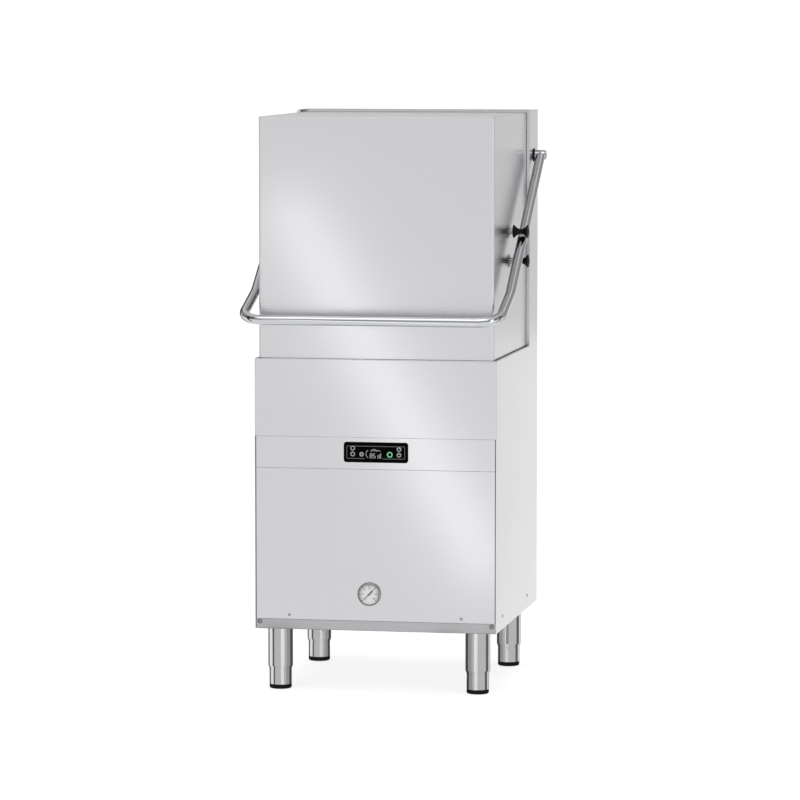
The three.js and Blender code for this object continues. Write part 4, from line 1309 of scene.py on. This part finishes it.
def area_light(name, place, size, power):
    light = bpy.data.lights.new(name, "AREA")
    light.shape = "RECTANGLE"
    light.size, light.size_y = size
    light.energy = power
    obj = add_object(name, light)
    obj.location = place
    obj.visible_camera = False
    return obj


def lights():
    """One slanting strip that lies across the front, and a big softbox overhead."""
    length = (STRIP_TO - STRIP_FROM).length
    strip = area_light("strip", (STRIP_FROM + STRIP_TO) / 2, (STRIP_WIDTH, length), STRIP_POWER)
    along = (STRIP_TO - STRIP_FROM).normalized()
    facing = Vector((0, 1, 0))
    across = facing.cross(along).normalized()
    strip.rotation_euler = Matrix((across, along, -facing)).transposed().to_euler()
    softbox = area_light("overhead", SOFTBOX_PLACE, SOFTBOX_SIZE, SOFTBOX_POWER)
    softbox.rotation_euler = (-Vector(SOFTBOX_PLACE)).to_track_quat("-Z", "Y").to_euler()


def ramped(tree, value, stops):
    """A grey ramp through (place, brightness) stops."""
    node = new_node(tree, "ShaderNodeValToRGB", {"Fac": value})
    ramp = node.color_ramp
    ramp.interpolation = "EASE"
    while len(ramp.elements) < len(stops):
        ramp.elements.new(0.5)
    for element, (at, grey) in zip(ramp.elements, stops):
        element.position = at
        element.color = (grey, grey, grey, 1)
    return node.outputs["Color"]


def sky():
    """The studio surround: bright level and overhead, darker between, with upright dark bands."""
    world = bpy.data.worlds.new("studio")
    bpy.context.scene.world = world
    world.use_nodes = True
    tree = world.node_tree
    place = new_node(tree, "ShaderNodeTexCoord", {}).outputs["Generated"]
    split = new_node(tree, "ShaderNodeSeparateXYZ", {"Vector": place}).outputs
    by_height = ramped(tree, split["Z"], SKY_BY_HEIGHT)
    inputs = {0: split["Y"], 1: split["X"]}
    bearing = new_node(tree, "ShaderNodeMath", inputs, operation="ARCTAN2").outputs["Value"]
    inputs = {"Value": bearing, "From Min": -math.pi, "From Max": math.pi}
    share = new_node(tree, "ShaderNodeMapRange", inputs).outputs["Result"]
    inputs = {
        "Factor": ramped(tree, split["Z"], SKY_FADE),
        "A": (1, 1, 1, 1),
        "B": ramped(tree, share, SKY_BY_BEARING),
    }
    banded = new_node(tree, "ShaderNodeMix", inputs, data_type="RGBA").outputs["Result"]
    inputs = {"Factor": 1.0, "A": by_height, "B": banded}
    product = new_node(tree, "ShaderNodeMix", inputs, data_type="RGBA", blend_type="MULTIPLY")
    feed(tree, tree.nodes["Background"], {"Color": product.outputs["Result"], "Strength": SKY_STRENGTH})


def camera():
    data = bpy.data.cameras.new("camera")
    data.sensor_width = SENSOR
    data.lens = LENS
    data.clip_end = CLIP_END
    obj = add_object("camera", data)
    obj.location = CAMERA_PLACE
    obj.rotation_euler = (math.pi / 2 - CAMERA_TILT, 0, CAMERA_TURN)
    bpy.context.scene.camera = obj


# ---- assembly ----

bpy.context.scene.view_settings.view_transform = "Standard"
camera()
sky()
lights()
floor()
cards()

cabinet_band()
for side_name, side_sign in SIDES.items():
    column_side(side_name, side_sign)
    column_flange(side_name, side_sign)
front_panel("lower_panel", "lower_front_panel")
front_panel("control_strip", "control_fascia")
plinth()
cabinet_screws()
rear_panel()
top_cap()
control_panel()
thermometer()
for leg_place in LEG_PLACES:
    leg(leg_place)
hood()
hood_sides()
handle()
inside()
